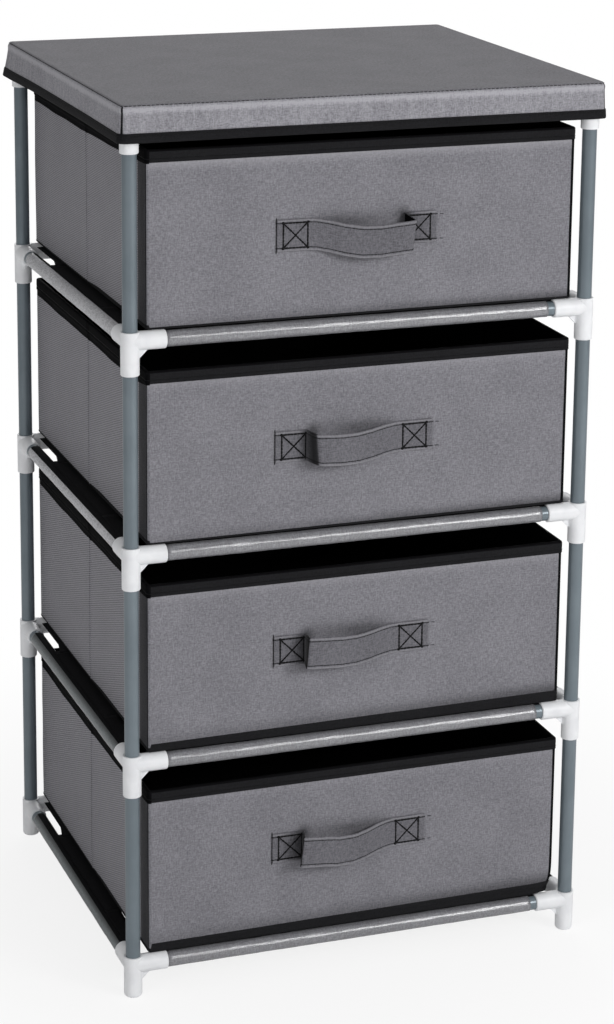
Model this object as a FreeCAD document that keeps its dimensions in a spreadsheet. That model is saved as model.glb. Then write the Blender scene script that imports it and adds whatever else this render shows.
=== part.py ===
import FreeCAD, Part
import math
import os
import re

import Sketcher

# Fabric drawer dresser: a knock-down tower of steel tubes pushed into moulded
# plastic corner connectors, four cloth shelves threaded on to the rails, four
# folding cloth drawers with strap handles, and a loose cloth-covered lid.
#
# Millimetres, +Z up, front towards -Y. The origin is on the floor under the
# middle of the dresser's overall length and width.

SHELVES = 4  # shelves and drawers, from the bottom up

# Driving dimensions. Every cell of the sheet is one of these.
SIZES = {
    # tube frame
    "post_span_x": 420,  # between the post axes, side to side
    "post_span_y": 365,  # between the post axes, front to back
    "level_pitch": 190,  # one shelf to the next
    "foot_height": 38,  # floor to the rim of the foot connectors
    "tube_diameter": 13,
    "tube_wall": 0.8,
    # moulded connectors
    "fit_gap": 0.1,  # round a tube in its socket
    "end_gap": 0.1,  # between a tube's end and its stop
    "socket_wall": 1.55,
    "sleeve_length": 38,  # rim to the lower mouth
    "upper_socket": 17,  # depth for the post above
    "stop_web": 3,  # between the upper and the lower post
    "branch_reach": 31,  # post axis to the mouth of a rail socket
    "stop_wall": 1,  # beyond the sleeve, where a rail stops
    "gusset_leg": 7,
    "gusset_width": 2.4,
    "mouth_round": 1.2,
    "foot_round": 3,
    # cloth shelves
    "shelf_cloth": 0.6,
    "casing_gap": 0.25,  # round a rail in its casing
    "bare_tube": 6,  # rail left bare beside each connector
    "notch_x": 46,  # corner cut, from the post axis along X
    "notch_y": 92,  # corner cut, from the post axis along Y
    # drawers
    "side_gap": 14,  # post axis to the drawer's side
    "front_set": 1.5,  # drawer's front ahead of the post axis
    "back_set": 5.5,  # drawer's back behind the post axis
    "head_gap": 36,  # left above a drawer in its bay
    "rest_gap": 0.3,  # under a drawer, on its connectors
    "wall_thick": 2.5,
    "floor_thick": 2,
    "corner_round": 3,
    "hem_height": 9.5,
    "hem_thick": 0.6,
    "base_thick": 2.5,  # base board
    "base_gap": 1,  # round the base board
    # strap handles
    "strap_width": 27.5,
    "strap_thick": 1.6,
    "strap_pad": 29,  # length sewn down at each end
    "strap_span": 87.6,  # free length between the pads, straight across
    "strap_reach": 22,  # how far the loop stands off the front
    "strap_rise": 84,  # bottom drawer's underside to its strap's middle
    "strap_step": 3.3,  # each strap sits this much lower on its drawer
    "strap_offset": -8,  # strap's middle from the drawer's middle
    # lid
    "lid_gap": 0.2,  # under the board, on the top connectors
    "lid_board": 3,
    "lid_cloth": 1,
    "skirt_gap": 0.65,  # round the top connectors
    "skirt_thick": 1.35,
    "skirt_height": 24,
    "band_height": 8,
    "band_proud": 0.3,
    "lid_corner": 5,
}

# Sizes that follow from the driving ones, as formulas on their names.
FORMULAS = {
    "half_x": "post_span_x / 2",
    "half_y": "post_span_y / 2",
    "tube_r": "tube_diameter / 2",
    "tube_bore": "tube_r - tube_wall",
    "bore_r": "tube_r + fit_gap",
    "socket_r": "bore_r + socket_wall",
    "rail_stop": "socket_r + stop_wall",
    "lower_socket": "sleeve_length - upper_socket - stop_web",
    "casing_in": "tube_r + casing_gap",
    "casing_out": "casing_in + shelf_cloth",
    "drawer_wide": "post_span_x - 2 * side_gap",
    "drawer_deep": "post_span_y + front_set + back_set",
    "drawer_high": "level_pitch - head_gap",
    "drawer_mid": "(back_set - front_set) / 2",
    "skirt_x": "half_x + socket_r + skirt_gap",
    "skirt_y": "half_y + socket_r + skirt_gap",
    "front_reach": "half_y + front_set + strap_reach",
    "back_reach": "skirt_y + skirt_thick + band_proud",
    "centre_y": "(front_reach - back_reach) / 2",
    "top_rim": "foot_height + %d * level_pitch" % SHELVES,
    "lid_top": "top_rim + lid_gap + lid_board + lid_cloth",
    "strap_half": "strap_span / 2",
    "strap_end": "strap_half + strap_pad",
    "strap_bulge": "strap_reach - strap_thick",
    "strap_bow": "(strap_half ^ 2 + strap_bulge ^ 2) / (2 * strap_bulge)",
}

CORNERS = {  # name: side of X, side of Y, quarter turns of a connector
    "front_left": (-1, -1, 0),
    "front_right": (1, -1, 1),
    "back_right": (1, 1, 2),
    "back_left": (-1, 1, 3),
}
RAIL_SIDES = {  # name: axis that the rail runs along, side it is on
    "front": ("x", -1),
    "back": ("x", 1),
    "left": ("y", -1),
    "right": ("y", 1),
}
NAME = re.compile(r"[a-z][a-z_]+")

doc = FreeCAD.newDocument("FabricDrawerDresser")
sheet = doc.addObject("Spreadsheet::Sheet", "Sizes")
sub_parts = []


def fill_sheet():
    """Writes each driving dimension into the sheet, under its alias."""
    for row, (alias, value) in enumerate(SIZES.items(), 1):
        sheet.set("A%d" % row, alias)
        sheet.set("B%d" % row, str(value))
        sheet.setAlias("B%d" % row, alias)
    doc.recompute()


def bind(formula):
    """Turns a formula on plain size names into one that reads the sheet."""

    def swap(found):
        word = found.group(0)
        if word in FORMULAS:
            return "(" + bind(FORMULAS[word]) + ")"
        return "Sizes." + word

    return NAME.sub(swap, formula)


# --- drawing helpers ---------------------------------------------------------


def new_body(label):
    body = doc.addObject("PartDesign::Body", label)
    body.Label = label
    return body


def origin_feature(body, role):
    """One of the body's own origin planes or axes, such as XY_Plane."""
    return next(item for item in body.Origin.OriginFeatures if item.Role == role)


def new_sketch(body, role, lift=None):
    """A sketch on the body's own plane, moved along the plane's normal by lift."""
    sketch = body.newObject("Sketcher::SketchObject", body.Label + "_sketch")
    sketch.AttachmentSupport = (origin_feature(body, role), [""])
    sketch.MapMode = "FlatFace"
    if lift:
        sketch.setExpression("AttachmentOffset.Base.z", bind(lift))
    return sketch


def value_of(formula):
    """The present value of a formula, to start a sketch near its solution."""
    value = sheet.evalExpression(bind(formula))
    return float(getattr(value, "Value", value))


def constrain(sketch, kind, *where_and_formula):
    """A dimension whose value is a formula on the sheet."""
    *where, formula = where_and_formula
    start = value_of(formula)
    index = sketch.addConstraint(Sketcher.Constraint(kind, *where, start))
    sketch.setExpression("Constraints[%d]" % index, bind(formula))


def pin_point(sketch, geometry, point, across, up):
    """Places a point by its formulas from the sketch's origin."""
    constrain(sketch, "DistanceX", -1, 1, geometry, point, across)
    constrain(sketch, "DistanceY", -1, 1, geometry, point, up)


def draw_outline(sketch, points, bows=None):
    """A closed outline through points given as formulas.

    Sides are straight, but for those in bows, by their number: these are arcs
    that bulge downwards, each with its formulas for bulge and radius.
    """
    bows = bows or {}
    count = len(points)
    spots = [FreeCAD.Vector(value_of(across), value_of(up), 0) for across, up in points]
    sides = []
    for i in range(count):
        here, there = spots[i], spots[(i + 1) % count]
        if i in bows:
            middle = (here + there) / 2 - FreeCAD.Vector(0, value_of(bows[i][0]), 0)
            curve = Part.Arc(here, middle, there)
        else:
            curve = Part.LineSegment(here, there)
        index = sketch.addGeometry(curve, False)
        # an arc is stored anticlockwise, which here is from left to right
        flipped = i in bows and here.x > there.x
        sides.append((index, 2, 1) if flipped else (index, 1, 2))
    for i, (side, _, end) in enumerate(sides):
        after, start, _ = sides[(i + 1) % count]
        sketch.addConstraint(Sketcher.Constraint("Coincident", side, end, after, start))
    for (side, start, _), (across, up) in zip(sides, points):
        pin_point(sketch, side, start, across, up)
    for i, (_, radius) in bows.items():
        constrain(sketch, "Radius", sides[i][0], radius)


def draw_rectangle(sketch, half_wide, half_high):
    """A rectangle about the sketch's origin."""
    left, low = "-(%s)" % half_wide, "-(%s)" % half_high
    corners = [(left, low), (half_wide, low), (half_wide, half_high), (left, half_high)]
    draw_outline(sketch, corners)


def draw_circle(sketch, radius, across="0", up="0"):
    where = FreeCAD.Vector(0, 0, 0)
    normal = FreeCAD.Vector(0, 0, 1)
    index = sketch.addGeometry(Part.Circle(where, normal, 1), False)
    pin_point(sketch, index, 3, across, up)
    constrain(sketch, "Radius", index, radius)


def draw_tube(sketch, outer, inner, across="0", up="0"):
    draw_circle(sketch, outer, across, up)
    draw_circle(sketch, inner, across, up)


def extrude(kind, body, sketch, length, midplane=False, back=False):
    """A Pad or Pocket of the sketch, as long as the formula says."""
    feature = body.newObject("PartDesign::" + kind, body.Label + "_" + kind.lower())
    feature.Profile = sketch
    feature.Midplane = midplane
    feature.Reversed = back
    feature.setExpression("Length", bind(length))
    doc.recompute()
    return feature


def cut(body, sketch, depth, back=False):
    """A Pocket, tested because one that points away takes nothing off."""
    before = body.Shape.Volume
    extrude("Pocket", body, sketch, depth, back=back)
    if body.Shape.Volume > before - 1e-6:
        raise RuntimeError(body.Label + ": a pocket cuts nothing")


def round_edges(body, radius, wanted):
    """Fillets the edges of the body so far for which wanted(edge, box) is true."""
    base = body.Tip
    box = base.Shape.BoundBox
    edges = enumerate(base.Shape.Edges, 1)
    names = ["Edge%d" % i for i, edge in edges if wanted(edge.BoundBox, box)]
    fillet = body.newObject("PartDesign::Fillet", body.Label + "_round")
    fillet.Base = (base, names)
    fillet.setExpression("Radius", bind(radius))
    doc.recompute()


def near(one, other):
    return abs(one - other) < 1e-4


def is_upright(edge, box):
    """True for an upright edge, which on these bodies is a corner."""
    return near(edge.XLength, 0) and near(edge.YLength, 0)


def is_outer(edge, box):
    """True for an upright edge on the body's outline."""
    return is_upright(edge, box) and (near(edge.XMax, box.XMax) or near(edge.XMin, box.XMin))


def is_inner(edge, box):
    """True for an upright edge within the body's outline."""
    return is_upright(edge, box) and not is_outer(edge, box)


def place(sub_part, across="0", deep="0", up="0", quarter_turns=0):
    """Puts a sub-part in the dresser, by formulas from the posts' centre."""
    spin = FreeCAD.Rotation(FreeCAD.Vector(0, 0, 1), 90 * quarter_turns)
    sub_part.Placement = FreeCAD.Placement(FreeCAD.Vector(), spin)
    sub_part.setExpression("Placement.Base.x", bind(across))
    sub_part.setExpression("Placement.Base.y", bind("centre_y + " + deep))
    sub_part.setExpression("Placement.Base.z", bind(up))
    sub_parts.append(sub_part)


def rim_of(level):
    """Height of the connectors' rim at a level, the feet being level 0."""
    return "foot_height + %d * level_pitch" % level


# --- tube frame ---------------------------------------------------------------


def make_post(corner):
    """One corner post: a tube for each bay, stacked between the connectors."""
    side_x, side_y, _ = CORNERS[corner]
    body = new_body("post_" + corner)
    sketch = new_sketch(body, "XY_Plane")
    draw_tube(sketch, "tube_r", "tube_bore")
    length = "level_pitch - stop_web - 2 * end_gap"
    tube = extrude("Pad", body, sketch, length)
    stack = body.newObject("PartDesign::LinearPattern", body.Label + "_stack")
    stack.Originals = [tube]
    stack.Direction = (origin_feature(body, "Z_Axis"), [""])
    stack.setExpression("Length", bind("%d * level_pitch" % (SHELVES - 1)))
    stack.Occurrences = SHELVES
    body.Tip = stack
    bottom = "foot_height - upper_socket + end_gap"
    place(body, "%d * half_x" % side_x, "%d * half_y" % side_y, bottom)


def make_rail(label, side):
    """One rail, a tube that stops against the sleeves at its two ends."""
    axis, _ = RAIL_SIDES[side]
    span = "post_span_" + axis
    body = new_body(label)
    sketch = new_sketch(body, "YZ_Plane" if axis == "x" else "XZ_Plane")
    draw_tube(sketch, "tube_r", "tube_bore")
    extrude("Pad", body, sketch, span + " - 2 * rail_stop - 2 * end_gap", midplane=True)
    return body


def rail_place(side, level):
    """Formulas for a rail's middle: its axis is a socket radius below the rim."""
    axis, sign = RAIL_SIDES[side]
    across = "%d * half_x" % sign if axis == "y" else "0"
    deep = "%d * half_y" % sign if axis == "x" else "0"
    return across, deep, rim_of(level) + " - socket_r"


def make_top_rails():
    """The four rails under the lid, kept together as one sub-part."""
    group = doc.addObject("Part::Compound", "top_rails")
    group.Label = "top_rails"
    rails = [make_rail("top_rail_" + side, side) for side in RAIL_SIDES]
    for side, rail in zip(RAIL_SIDES, rails):
        across, deep, _ = rail_place(side, SHELVES)
        rail.setExpression("Placement.Base.x", bind(across))
        rail.setExpression("Placement.Base.y", bind(deep))
    group.Links = rails
    doc.recompute()
    place(group, up="top_rim - socket_r")


# --- moulded connectors -------------------------------------------------------


def add_sleeve(body, bottom_round):
    """The upright sleeve, hanging from its rim at the local origin."""
    sketch = new_sketch(body, "XY_Plane")
    draw_circle(sketch, "socket_r")
    extrude("Pad", body, sketch, "sleeve_length", back=True)
    round_edges(body, bottom_round, lambda edge, box: near(edge.ZMax, box.ZMin))


def add_branch(body, role, back):
    """A rail socket from the post axis outwards, its top level with the rim."""
    sketch = new_sketch(body, role)
    draw_circle(sketch, "socket_r", up="-socket_r")
    extrude("Pad", body, sketch, "branch_reach", back=back)


def add_gusset(body, role):
    """The triangular web that braces a branch from below."""
    sketch = new_sketch(body, role)
    under = "-2 * socket_r"
    toe = "socket_r + gusset_leg"
    heel = under + " - gusset_leg"
    corners = [("0", "-socket_r"), (toe, "-socket_r"), (toe, under), ("socket_r", heel), ("0", heel)]
    draw_outline(sketch, corners)
    extrude("Pad", body, sketch, "gusset_width", midplane=True)


def bore_post_socket(body, mouth, depth, back):
    """A socket for a post, from its mouth inwards."""
    sketch = new_sketch(body, "XY_Plane", mouth)
    draw_circle(sketch, "bore_r")
    cut(body, sketch, depth, back=back)


def bore_rail_socket(body, role, mouth, back):
    """A socket for a rail, from the branch's mouth to its stop."""
    sketch = new_sketch(body, role, mouth)
    draw_circle(sketch, "bore_r", up="-socket_r")
    cut(body, sketch, "branch_reach - rail_stop", back=back)


def make_connector(label, corner, level):
    """A corner connector: sleeve, two braced branches and its blind sockets.

    Every corner takes the same moulding, turned. The lowest one ends in a
    closed foot, and the highest is closed on top, under the lid.
    """
    side_x, side_y, turns = CORNERS[corner]
    is_foot, is_top = level == 0, level == SHELVES
    body = new_body(label)
    add_sleeve(body, "foot_round" if is_foot else "mouth_round")
    add_branch(body, "YZ_Plane", back=False)
    round_edges(body, "mouth_round", lambda edge, box: near(edge.XMin, box.XMax))
    add_branch(body, "XZ_Plane", back=True)
    round_edges(body, "mouth_round", lambda edge, box: near(edge.YMin, box.YMax))
    add_gusset(body, "XZ_Plane")
    add_gusset(body, "YZ_Plane")
    if not is_top:
        bore_post_socket(body, None, "upper_socket", back=False)
    if not is_foot:
        bore_post_socket(body, "-sleeve_length", "lower_socket", back=True)
    bore_rail_socket(body, "YZ_Plane", "branch_reach", back=False)
    bore_rail_socket(body, "XZ_Plane", "-branch_reach", back=True)
    at = ("%d * half_x" % side_x, "%d * half_y" % side_y, rim_of(level))
    place(body, *at, quarter_turns=turns)


# --- cloth shelves ------------------------------------------------------------


def make_shelf(number):
    """A cloth shelf: a sheet with cut corners and a casing on each rail.

    The casings run over the rails, and the sheet is level with their tops.
    """
    body = new_body("shelf_%d" % number)
    out_x, out_y = "half_x", "half_y"
    in_x, in_y = "(half_x - notch_x)", "(half_y - notch_y)"
    corners = []
    for x, y in ((1, 1), (-1, 1), (-1, -1), (1, -1)):
        on_side = ("%d * %s" % (x, out_x), "%d * %s" % (y, in_y))
        on_end = ("%d * %s" % (x, in_x), "%d * %s" % (y, out_y))
        corners += [on_side, on_end] if x == y else [on_end, on_side]
    sheet_sketch = new_sketch(body, "XY_Plane", "casing_in")
    draw_outline(sheet_sketch, corners)
    extrude("Pad", body, sheet_sketch, "shelf_cloth")
    for role, across, span in (
        ("YZ_Plane", "half_y", "post_span_x"),
        ("XZ_Plane", "half_x", "post_span_y"),
    ):
        sketch = new_sketch(body, role)
        for sign in (-1, 1):
            draw_tube(sketch, "casing_out", "casing_in", "%d * %s" % (sign, across))
        extrude("Pad", body, sketch, span + " - 2 * branch_reach - 2 * bare_tube", midplane=True)
    place(body, up=rim_of(number - 1) + " - socket_r")


# --- drawers ------------------------------------------------------------------


def drawer_floor(number):
    """Height of a drawer's underside, just above the rail sockets' tops."""
    return rim_of(number - 1) + " + rest_gap"


def make_drawer_box(number):
    """An open cloth box with stiffened walls and a hem folded over its rim."""
    body = new_body("drawer_%d_box" % number)
    half_wide, half_deep = "drawer_wide / 2", "drawer_deep / 2"
    outside = new_sketch(body, "XY_Plane")
    draw_rectangle(outside, half_wide, half_deep)
    extrude("Pad", body, outside, "drawer_high")
    hem = new_sketch(body, "XY_Plane", "drawer_high - hem_height")
    draw_rectangle(hem, half_wide + " + hem_thick", half_deep + " + hem_thick")
    extrude("Pad", body, hem, "hem_height")
    round_edges(body, "corner_round", is_upright)
    inside = new_sketch(body, "XY_Plane", "drawer_high")
    draw_rectangle(inside, half_wide + " - wall_thick", half_deep + " - wall_thick")
    cut(body, inside, "drawer_high - floor_thick")
    place(body, deep="drawer_mid", up=drawer_floor(number))


def make_base_board(number):
    """The loose board that keeps a drawer's floor flat."""
    body = new_body("drawer_%d_base_board" % number)
    inset = " - wall_thick - base_gap"
    sketch = new_sketch(body, "XY_Plane")
    draw_rectangle(sketch, "drawer_wide / 2" + inset, "drawer_deep / 2" + inset)
    extrude("Pad", body, sketch, "base_thick")
    round_edges(body, "corner_round", is_upright)
    place(body, deep="drawer_mid", up=drawer_floor(number) + " + floor_thick")


def draw_strap(sketch):
    """The strap seen from above: two flat pads and the bowed loop between."""
    back = [(x, "0") for x in ("-strap_end", "-strap_half", "strap_half", "strap_end")]
    front = [(x, "-strap_thick") for x, _ in reversed(back)]
    bow = ("strap_bulge", "strap_bow")
    draw_outline(sketch, back + front, bows={1: bow, 5: bow})


def make_handle(number):
    """A strap sewn flat to the drawer's front at both ends, free between."""
    body = new_body("drawer_%d_handle" % number)
    sketch = new_sketch(body, "XY_Plane")
    draw_strap(sketch)
    extrude("Pad", body, sketch, "strap_width", midplane=True)
    up = drawer_floor(number) + " + strap_rise - %d * strap_step" % (number - 1)
    place(body, "strap_offset", "-(half_y + front_set)", up)


# --- lid ------------------------------------------------------------------------


def make_skirt(body, thickness, height, cover):
    """A ring round the frame's top, closed above by a cover of that thickness."""
    outside = new_sketch(body, "XY_Plane")
    draw_rectangle(outside, "skirt_x + " + thickness, "skirt_y + " + thickness)
    extrude("Pad", body, outside, height)
    inside = new_sketch(body, "XY_Plane")
    draw_rectangle(inside, "skirt_x", "skirt_y")
    cut(body, inside, height + " - " + cover, back=True)
    round_edges(body, "lid_corner", is_outer)
    round_edges(body, "lid_corner - skirt_thick", is_inner)


def make_lid_board():
    """The stiff board that lies on the top connectors, inside the cover."""
    body = new_body("lid_board")
    sketch = new_sketch(body, "XY_Plane")
    draw_rectangle(sketch, "skirt_x - lid_gap", "skirt_y - lid_gap")
    extrude("Pad", body, sketch, "lid_board")
    round_edges(body, "lid_corner - skirt_thick", is_upright)
    place(body, up="top_rim + lid_gap")


def make_lid_cover():
    """The cloth cover: a top sheet with a skirt that hangs over the rails."""
    body = new_body("lid_cover")
    make_skirt(body, "skirt_thick", "skirt_height", "lid_cloth")
    place(body, up="lid_top - skirt_height")


def make_lid_band():
    """The binding sewn round the lower edge of the skirt."""
    body = new_body("lid_band")
    make_skirt(body, "(skirt_thick + band_proud)", "band_height", "0")
    place(body, up="lid_top - skirt_height - band_height")


# --- the whole dresser ----------------------------------------------------------


def build_dresser():
    fill_sheet()
    for corner in CORNERS:
        make_post(corner)
        make_connector("foot_connector_" + corner, corner, 0)
        for level in range(1, SHELVES):
            make_connector("connector_%d_%s" % (level + 1, corner), corner, level)
        make_connector("top_connector_" + corner, corner, SHELVES)
    for level in range(SHELVES):
        for side in RAIL_SIDES:
            rail = make_rail("rail_%d_%s" % (level + 1, side), side)
            place(rail, *rail_place(side, level))
    make_top_rails()
    for number in range(1, SHELVES + 1):
        make_shelf(number)
        make_drawer_box(number)
        make_base_board(number)
        make_handle(number)
    make_lid_board()
    make_lid_cover()
    make_lid_band()
    doc.recompute()


def check_document():
    """Stops if any object failed or any sub-part has no valid shape."""
    for item in doc.Objects:
        if {"Invalid", "Error"} & set(item.State):
            raise RuntimeError("failed: %s %s" % (item.Label, item.State))
    for sub_part in sub_parts:
        shape = sub_part.Shape
        if shape.isNull() or not shape.isValid() or not shape.Solids:
            raise RuntimeError("no valid solid: " + sub_part.Label)


def write_parts():
    os.makedirs("parts", exist_ok=True)
    for sub_part in sub_parts:
        path = os.path.join("parts", sub_part.Label + ".step")
        sub_part.Shape.exportStep(path)


build_dresser()
check_document()
write_parts()
print("%d sub-parts" % len(sub_parts))
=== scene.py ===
"""Dresses the fabric drawer dresser.

The tubes, moulded corners and boards keep their solids and take new finishes. The sewn shelves, the
drawers with their strap handles, and the lid are made here and take the place of their solids.
"""

import logging
import math
from collections.abc import Callable, Sequence
from dataclasses import dataclass, field
from enum import Enum, IntEnum
from functools import partial

import bmesh
import bpy
import numpy as np
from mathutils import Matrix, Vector, noise


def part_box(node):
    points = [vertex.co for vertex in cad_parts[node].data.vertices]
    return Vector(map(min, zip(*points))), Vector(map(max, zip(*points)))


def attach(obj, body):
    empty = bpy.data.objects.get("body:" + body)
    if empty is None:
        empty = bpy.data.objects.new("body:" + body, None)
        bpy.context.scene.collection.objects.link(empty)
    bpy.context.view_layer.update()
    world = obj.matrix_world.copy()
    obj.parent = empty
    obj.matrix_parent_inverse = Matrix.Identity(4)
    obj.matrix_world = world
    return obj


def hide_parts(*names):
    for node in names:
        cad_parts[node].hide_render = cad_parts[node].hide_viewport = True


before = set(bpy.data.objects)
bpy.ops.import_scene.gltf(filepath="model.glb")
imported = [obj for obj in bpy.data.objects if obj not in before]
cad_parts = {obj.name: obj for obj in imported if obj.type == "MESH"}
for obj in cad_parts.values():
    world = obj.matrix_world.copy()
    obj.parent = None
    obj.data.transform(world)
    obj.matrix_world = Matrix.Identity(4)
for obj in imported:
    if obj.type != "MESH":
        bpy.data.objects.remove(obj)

LOG = logging.getLogger("dresser")
MM = 0.001
TURN = 2 * math.pi
SHELVES = 4
WELD = 1e-6
PICTURE = (614, 1024)
# Painted light: the near-black that painted shade darkens cloth towards, and the pale grey that painted
# highlight lightens it towards.
PAINTED_SHADE_BLACK = "08080a"
PAINTED_HIGHLIGHT_PALE = "a9a8ad"

Colour = tuple[float, float, float, float]


# ---------------------------------------------------------------- shader building

def swatch(code: str) -> Colour:
    """Turn a swatch code into the linear colour that a shader takes.

    Args:
        code: Six hexadecimal digits, as on a swatch card.

    Returns:
        Red, green, blue and full opacity, in linear light.
    """
    parts = [int(code[i:i + 2], 16) / 255 for i in (0, 2, 4)]
    linear = [p / 12.92 if p <= 0.04045 else ((p + 0.055) / 1.055) ** 2.4 for p in parts]
    return (linear[0], linear[1], linear[2], 1.0)


def add_node(
    tree: bpy.types.NodeTree,
    kind: str,
    settings: dict[str, object] | None = None,
    sockets: dict[int | str, object] | None = None,
) -> bpy.types.Node:
    """Add a node to a tree.

    Args:
        tree: The tree that it joins.
        kind: The node's type.
        settings: Its own settings, which are set first.
        sockets: The values of its inputs, or the sockets linked to them, by name or number.

    Returns:
        The node.
    """
    node = tree.nodes.new(kind)
    for name, value in (settings or {}).items():
        setattr(node, name, value)
    for key, value in (sockets or {}).items():
        if isinstance(value, bpy.types.NodeSocket):
            tree.links.new(value, node.inputs[key])
        else:
            node.inputs[key].default_value = value
    return node


class Signal:
    """A shader socket on which Python's operators add Math nodes."""

    def __init__(self, finish: "FinishTree", socket: bpy.types.NodeSocket) -> None:
        """Keep the tree and the socket that carries the value."""
        self.finish = finish
        self.socket = socket

    def maths(self, operation: str, *others: "Signal | float", swapped: bool = False) -> "Signal":
        """Add one Math node on this value.

        Args:
            operation: The Math node's operation.
            others: The further operands.
            swapped: Whether this value is the second operand.

        Returns:
            The node's result.
        """
        operands = [*others, self] if swapped else [self, *others]
        node = self.finish.add("ShaderNodeMath", {"operation": operation}, dict(enumerate(operands)))
        return Signal(self.finish, node.outputs[0])

    def __add__(self, other: "Signal | float") -> "Signal":
        """Add another value."""
        return self.maths("ADD", other)

    __radd__ = __add__

    def __sub__(self, other: "Signal | float") -> "Signal":
        """Take another value away."""
        return self.maths("SUBTRACT", other)

    def __rsub__(self, other: "Signal | float") -> "Signal":
        """Take this value away from a number."""
        return self.maths("SUBTRACT", other, swapped=True)

    def __mul__(self, other: "Signal | float") -> "Signal":
        """Multiply by another value."""
        return self.maths("MULTIPLY", other)

    __rmul__ = __mul__

    def __abs__(self) -> "Signal":
        """Drop the sign."""
        return self.maths("ABSOLUTE")

    def sine(self) -> "Signal":
        """Take the sine of an angle in radians."""
        return self.maths("SINE")

    def step(self, low: float, high: float) -> "Signal":
        """Rise smoothly from 0 at one value to 1 at another.

        Args:
            low: The value that gives 0.
            high: The value that gives 1.

        Returns:
            The share, from 0 to 1.
        """
        node = self.finish.add(
            "ShaderNodeMapRange",
            {"interpolation_type": "SMOOTHSTEP"},
            {"Value": self, "From Min": low, "From Max": high},
        )
        return Signal(self.finish, node.outputs[0])


class Place(Enum):
    """What a pattern lies on."""

    OBJECT = "Object"
    CLOTH = "UV"


class FinishTree:
    """One material's node tree, built by code."""

    def __init__(self, name: str) -> None:
        """Make an empty material.

        Args:
            name: The material's name.
        """
        self.material = bpy.data.materials.new(name)
        self.material.use_nodes = True
        self.tree = self.material.node_tree
        self.tree.nodes.clear()

    def add(
        self,
        kind: str,
        settings: dict[str, object] | None = None,
        sockets: dict[int | str, object] | None = None,
    ) -> bpy.types.Node:
        """Add any node.

        Args:
            kind: The node's type.
            settings: Its own settings, which are set first.
            sockets: The values or signals of its inputs, by name or number.

        Returns:
            The node.
        """
        bare = {}
        for key, value in (sockets or {}).items():
            bare[key] = value.socket if isinstance(value, Signal) else value
        return add_node(self.tree, kind, settings, bare)

    def place(self, where: Place, scale: tuple[float, float, float] = (1, 1, 1)) -> Signal:
        """Give coordinates in metres, scaled along each axis.

        Args:
            where: The object's own coordinates, or the cloth's.
            scale: The factor on each axis.

        Returns:
            The scaled coordinates.
        """
        source = self.add("ShaderNodeTexCoord")
        scaled = self.add(
            "ShaderNodeVectorMath",
            {"operation": "MULTIPLY"},
            {0: source.outputs[where.value], 1: scale},
        )
        return Signal(self, scaled.outputs[0])

    def parts(self, vector: Signal) -> list[Signal]:
        """Split a vector into its three numbers."""
        node = self.add("ShaderNodeSeparateXYZ", None, {0: vector})
        return [Signal(self, out) for out in node.outputs]

    def grain(self, vector: Signal, scale: float, detail: float = 2.0, rough: float = 0.55) -> Signal:
        """Give fractal noise from 0 to 1.

        Args:
            vector: Where it is read.
            scale: Its features per metre of that place.
            detail: Its finer octaves.
            rough: How strong they are.

        Returns:
            The noise.
        """
        sockets = {"Vector": vector, "Scale": scale, "Detail": detail, "Roughness": rough}
        return Signal(self, self.add("ShaderNodeTexNoise", None, sockets).outputs[0])

    def blend(self, share: "Signal | float", low: "Signal | Colour", high: "Signal | Colour") -> Signal:
        """Mix two colours.

        Args:
            share: 0 for the first colour, 1 for the second.
            low: The first colour.
            high: The second colour.

        Returns:
            The mixed colour.
        """
        node = self.add("ShaderNodeMix", {"data_type": "RGBA"}, {0: share, 6: low, 7: high})
        return Signal(self, node.outputs[2])

    def relief(self, height: Signal, depth: float, strength: float = 1.0) -> Signal:
        """Turn heights into a normal.

        Args:
            height: The surface's height from 0 to 1.
            depth: What a height of 1 stands for, in metres.
            strength: How much of it shows.

        Returns:
            The bumped normal.
        """
        node = self.add("ShaderNodeBump", None, {"Height": height, "Distance": depth, "Strength": strength})
        return Signal(self, node.outputs[0])

    def finish(self, sockets: dict[int | str, object]) -> bpy.types.Material:
        """End the tree in a Principled shader.

        Args:
            sockets: The shader's own inputs.

        Returns:
            The material.
        """
        shader = self.add("ShaderNodeBsdfPrincipled", None, sockets)
        self.add("ShaderNodeOutputMaterial", None, {0: shader.outputs[0]})
        return self.material


# ---------------------------------------------------------------- finishes

@dataclass(frozen=True)
class PaintedSteel:
    """Satin paint on drawn tube, with a faint drawing grain."""

    name: str
    colour: str
    worn: str
    gloss: float = 0.24

    def build(self) -> bpy.types.Material:
        """Make the material.

        Returns:
            The material.
        """
        tree = FinishTree(self.name)
        here = tree.place(Place.OBJECT)
        clouds = tree.grain(here, 26.0, 3.0)
        peel = tree.grain(here, 900.0, 2.0)
        drawn = tree.grain(tree.place(Place.OBJECT, (1.0, 1.0, 0.05)), 1400.0, 1.0)
        wear = clouds.step(0.35, 0.7) * 0.5 + drawn * 0.25
        return tree.finish({
            "Base Color": tree.blend(wear, swatch(self.colour), swatch(self.worn)),
            "Metallic": 0.25,
            "Roughness": self.gloss + clouds * 0.08 + peel * 0.05,
            "Specular IOR Level": 0.6,
            "Normal": tree.relief(peel, 0.00004, 0.5),
        })


@dataclass(frozen=True)
class MouldedPlastic:
    """White moulded plastic, slightly uneven where it cooled."""

    name: str
    colour: str
    shade: str

    def build(self) -> bpy.types.Material:
        """Make the material.

        Returns:
            The material.
        """
        tree = FinishTree(self.name)
        here = tree.place(Place.OBJECT)
        flow = tree.grain(here, 60.0, 3.0)
        skin = tree.grain(here, 1500.0, 2.0)
        return tree.finish({
            "Base Color": tree.blend(flow.step(0.3, 0.8), swatch(self.colour), swatch(self.shade)),
            "Roughness": 0.32 + flow * 0.12 + skin * 0.05,
            "IOR": 1.48,
            "Specular IOR Level": 0.4,
            "Normal": tree.relief(skin, 0.00003, 0.6),
        })


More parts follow.
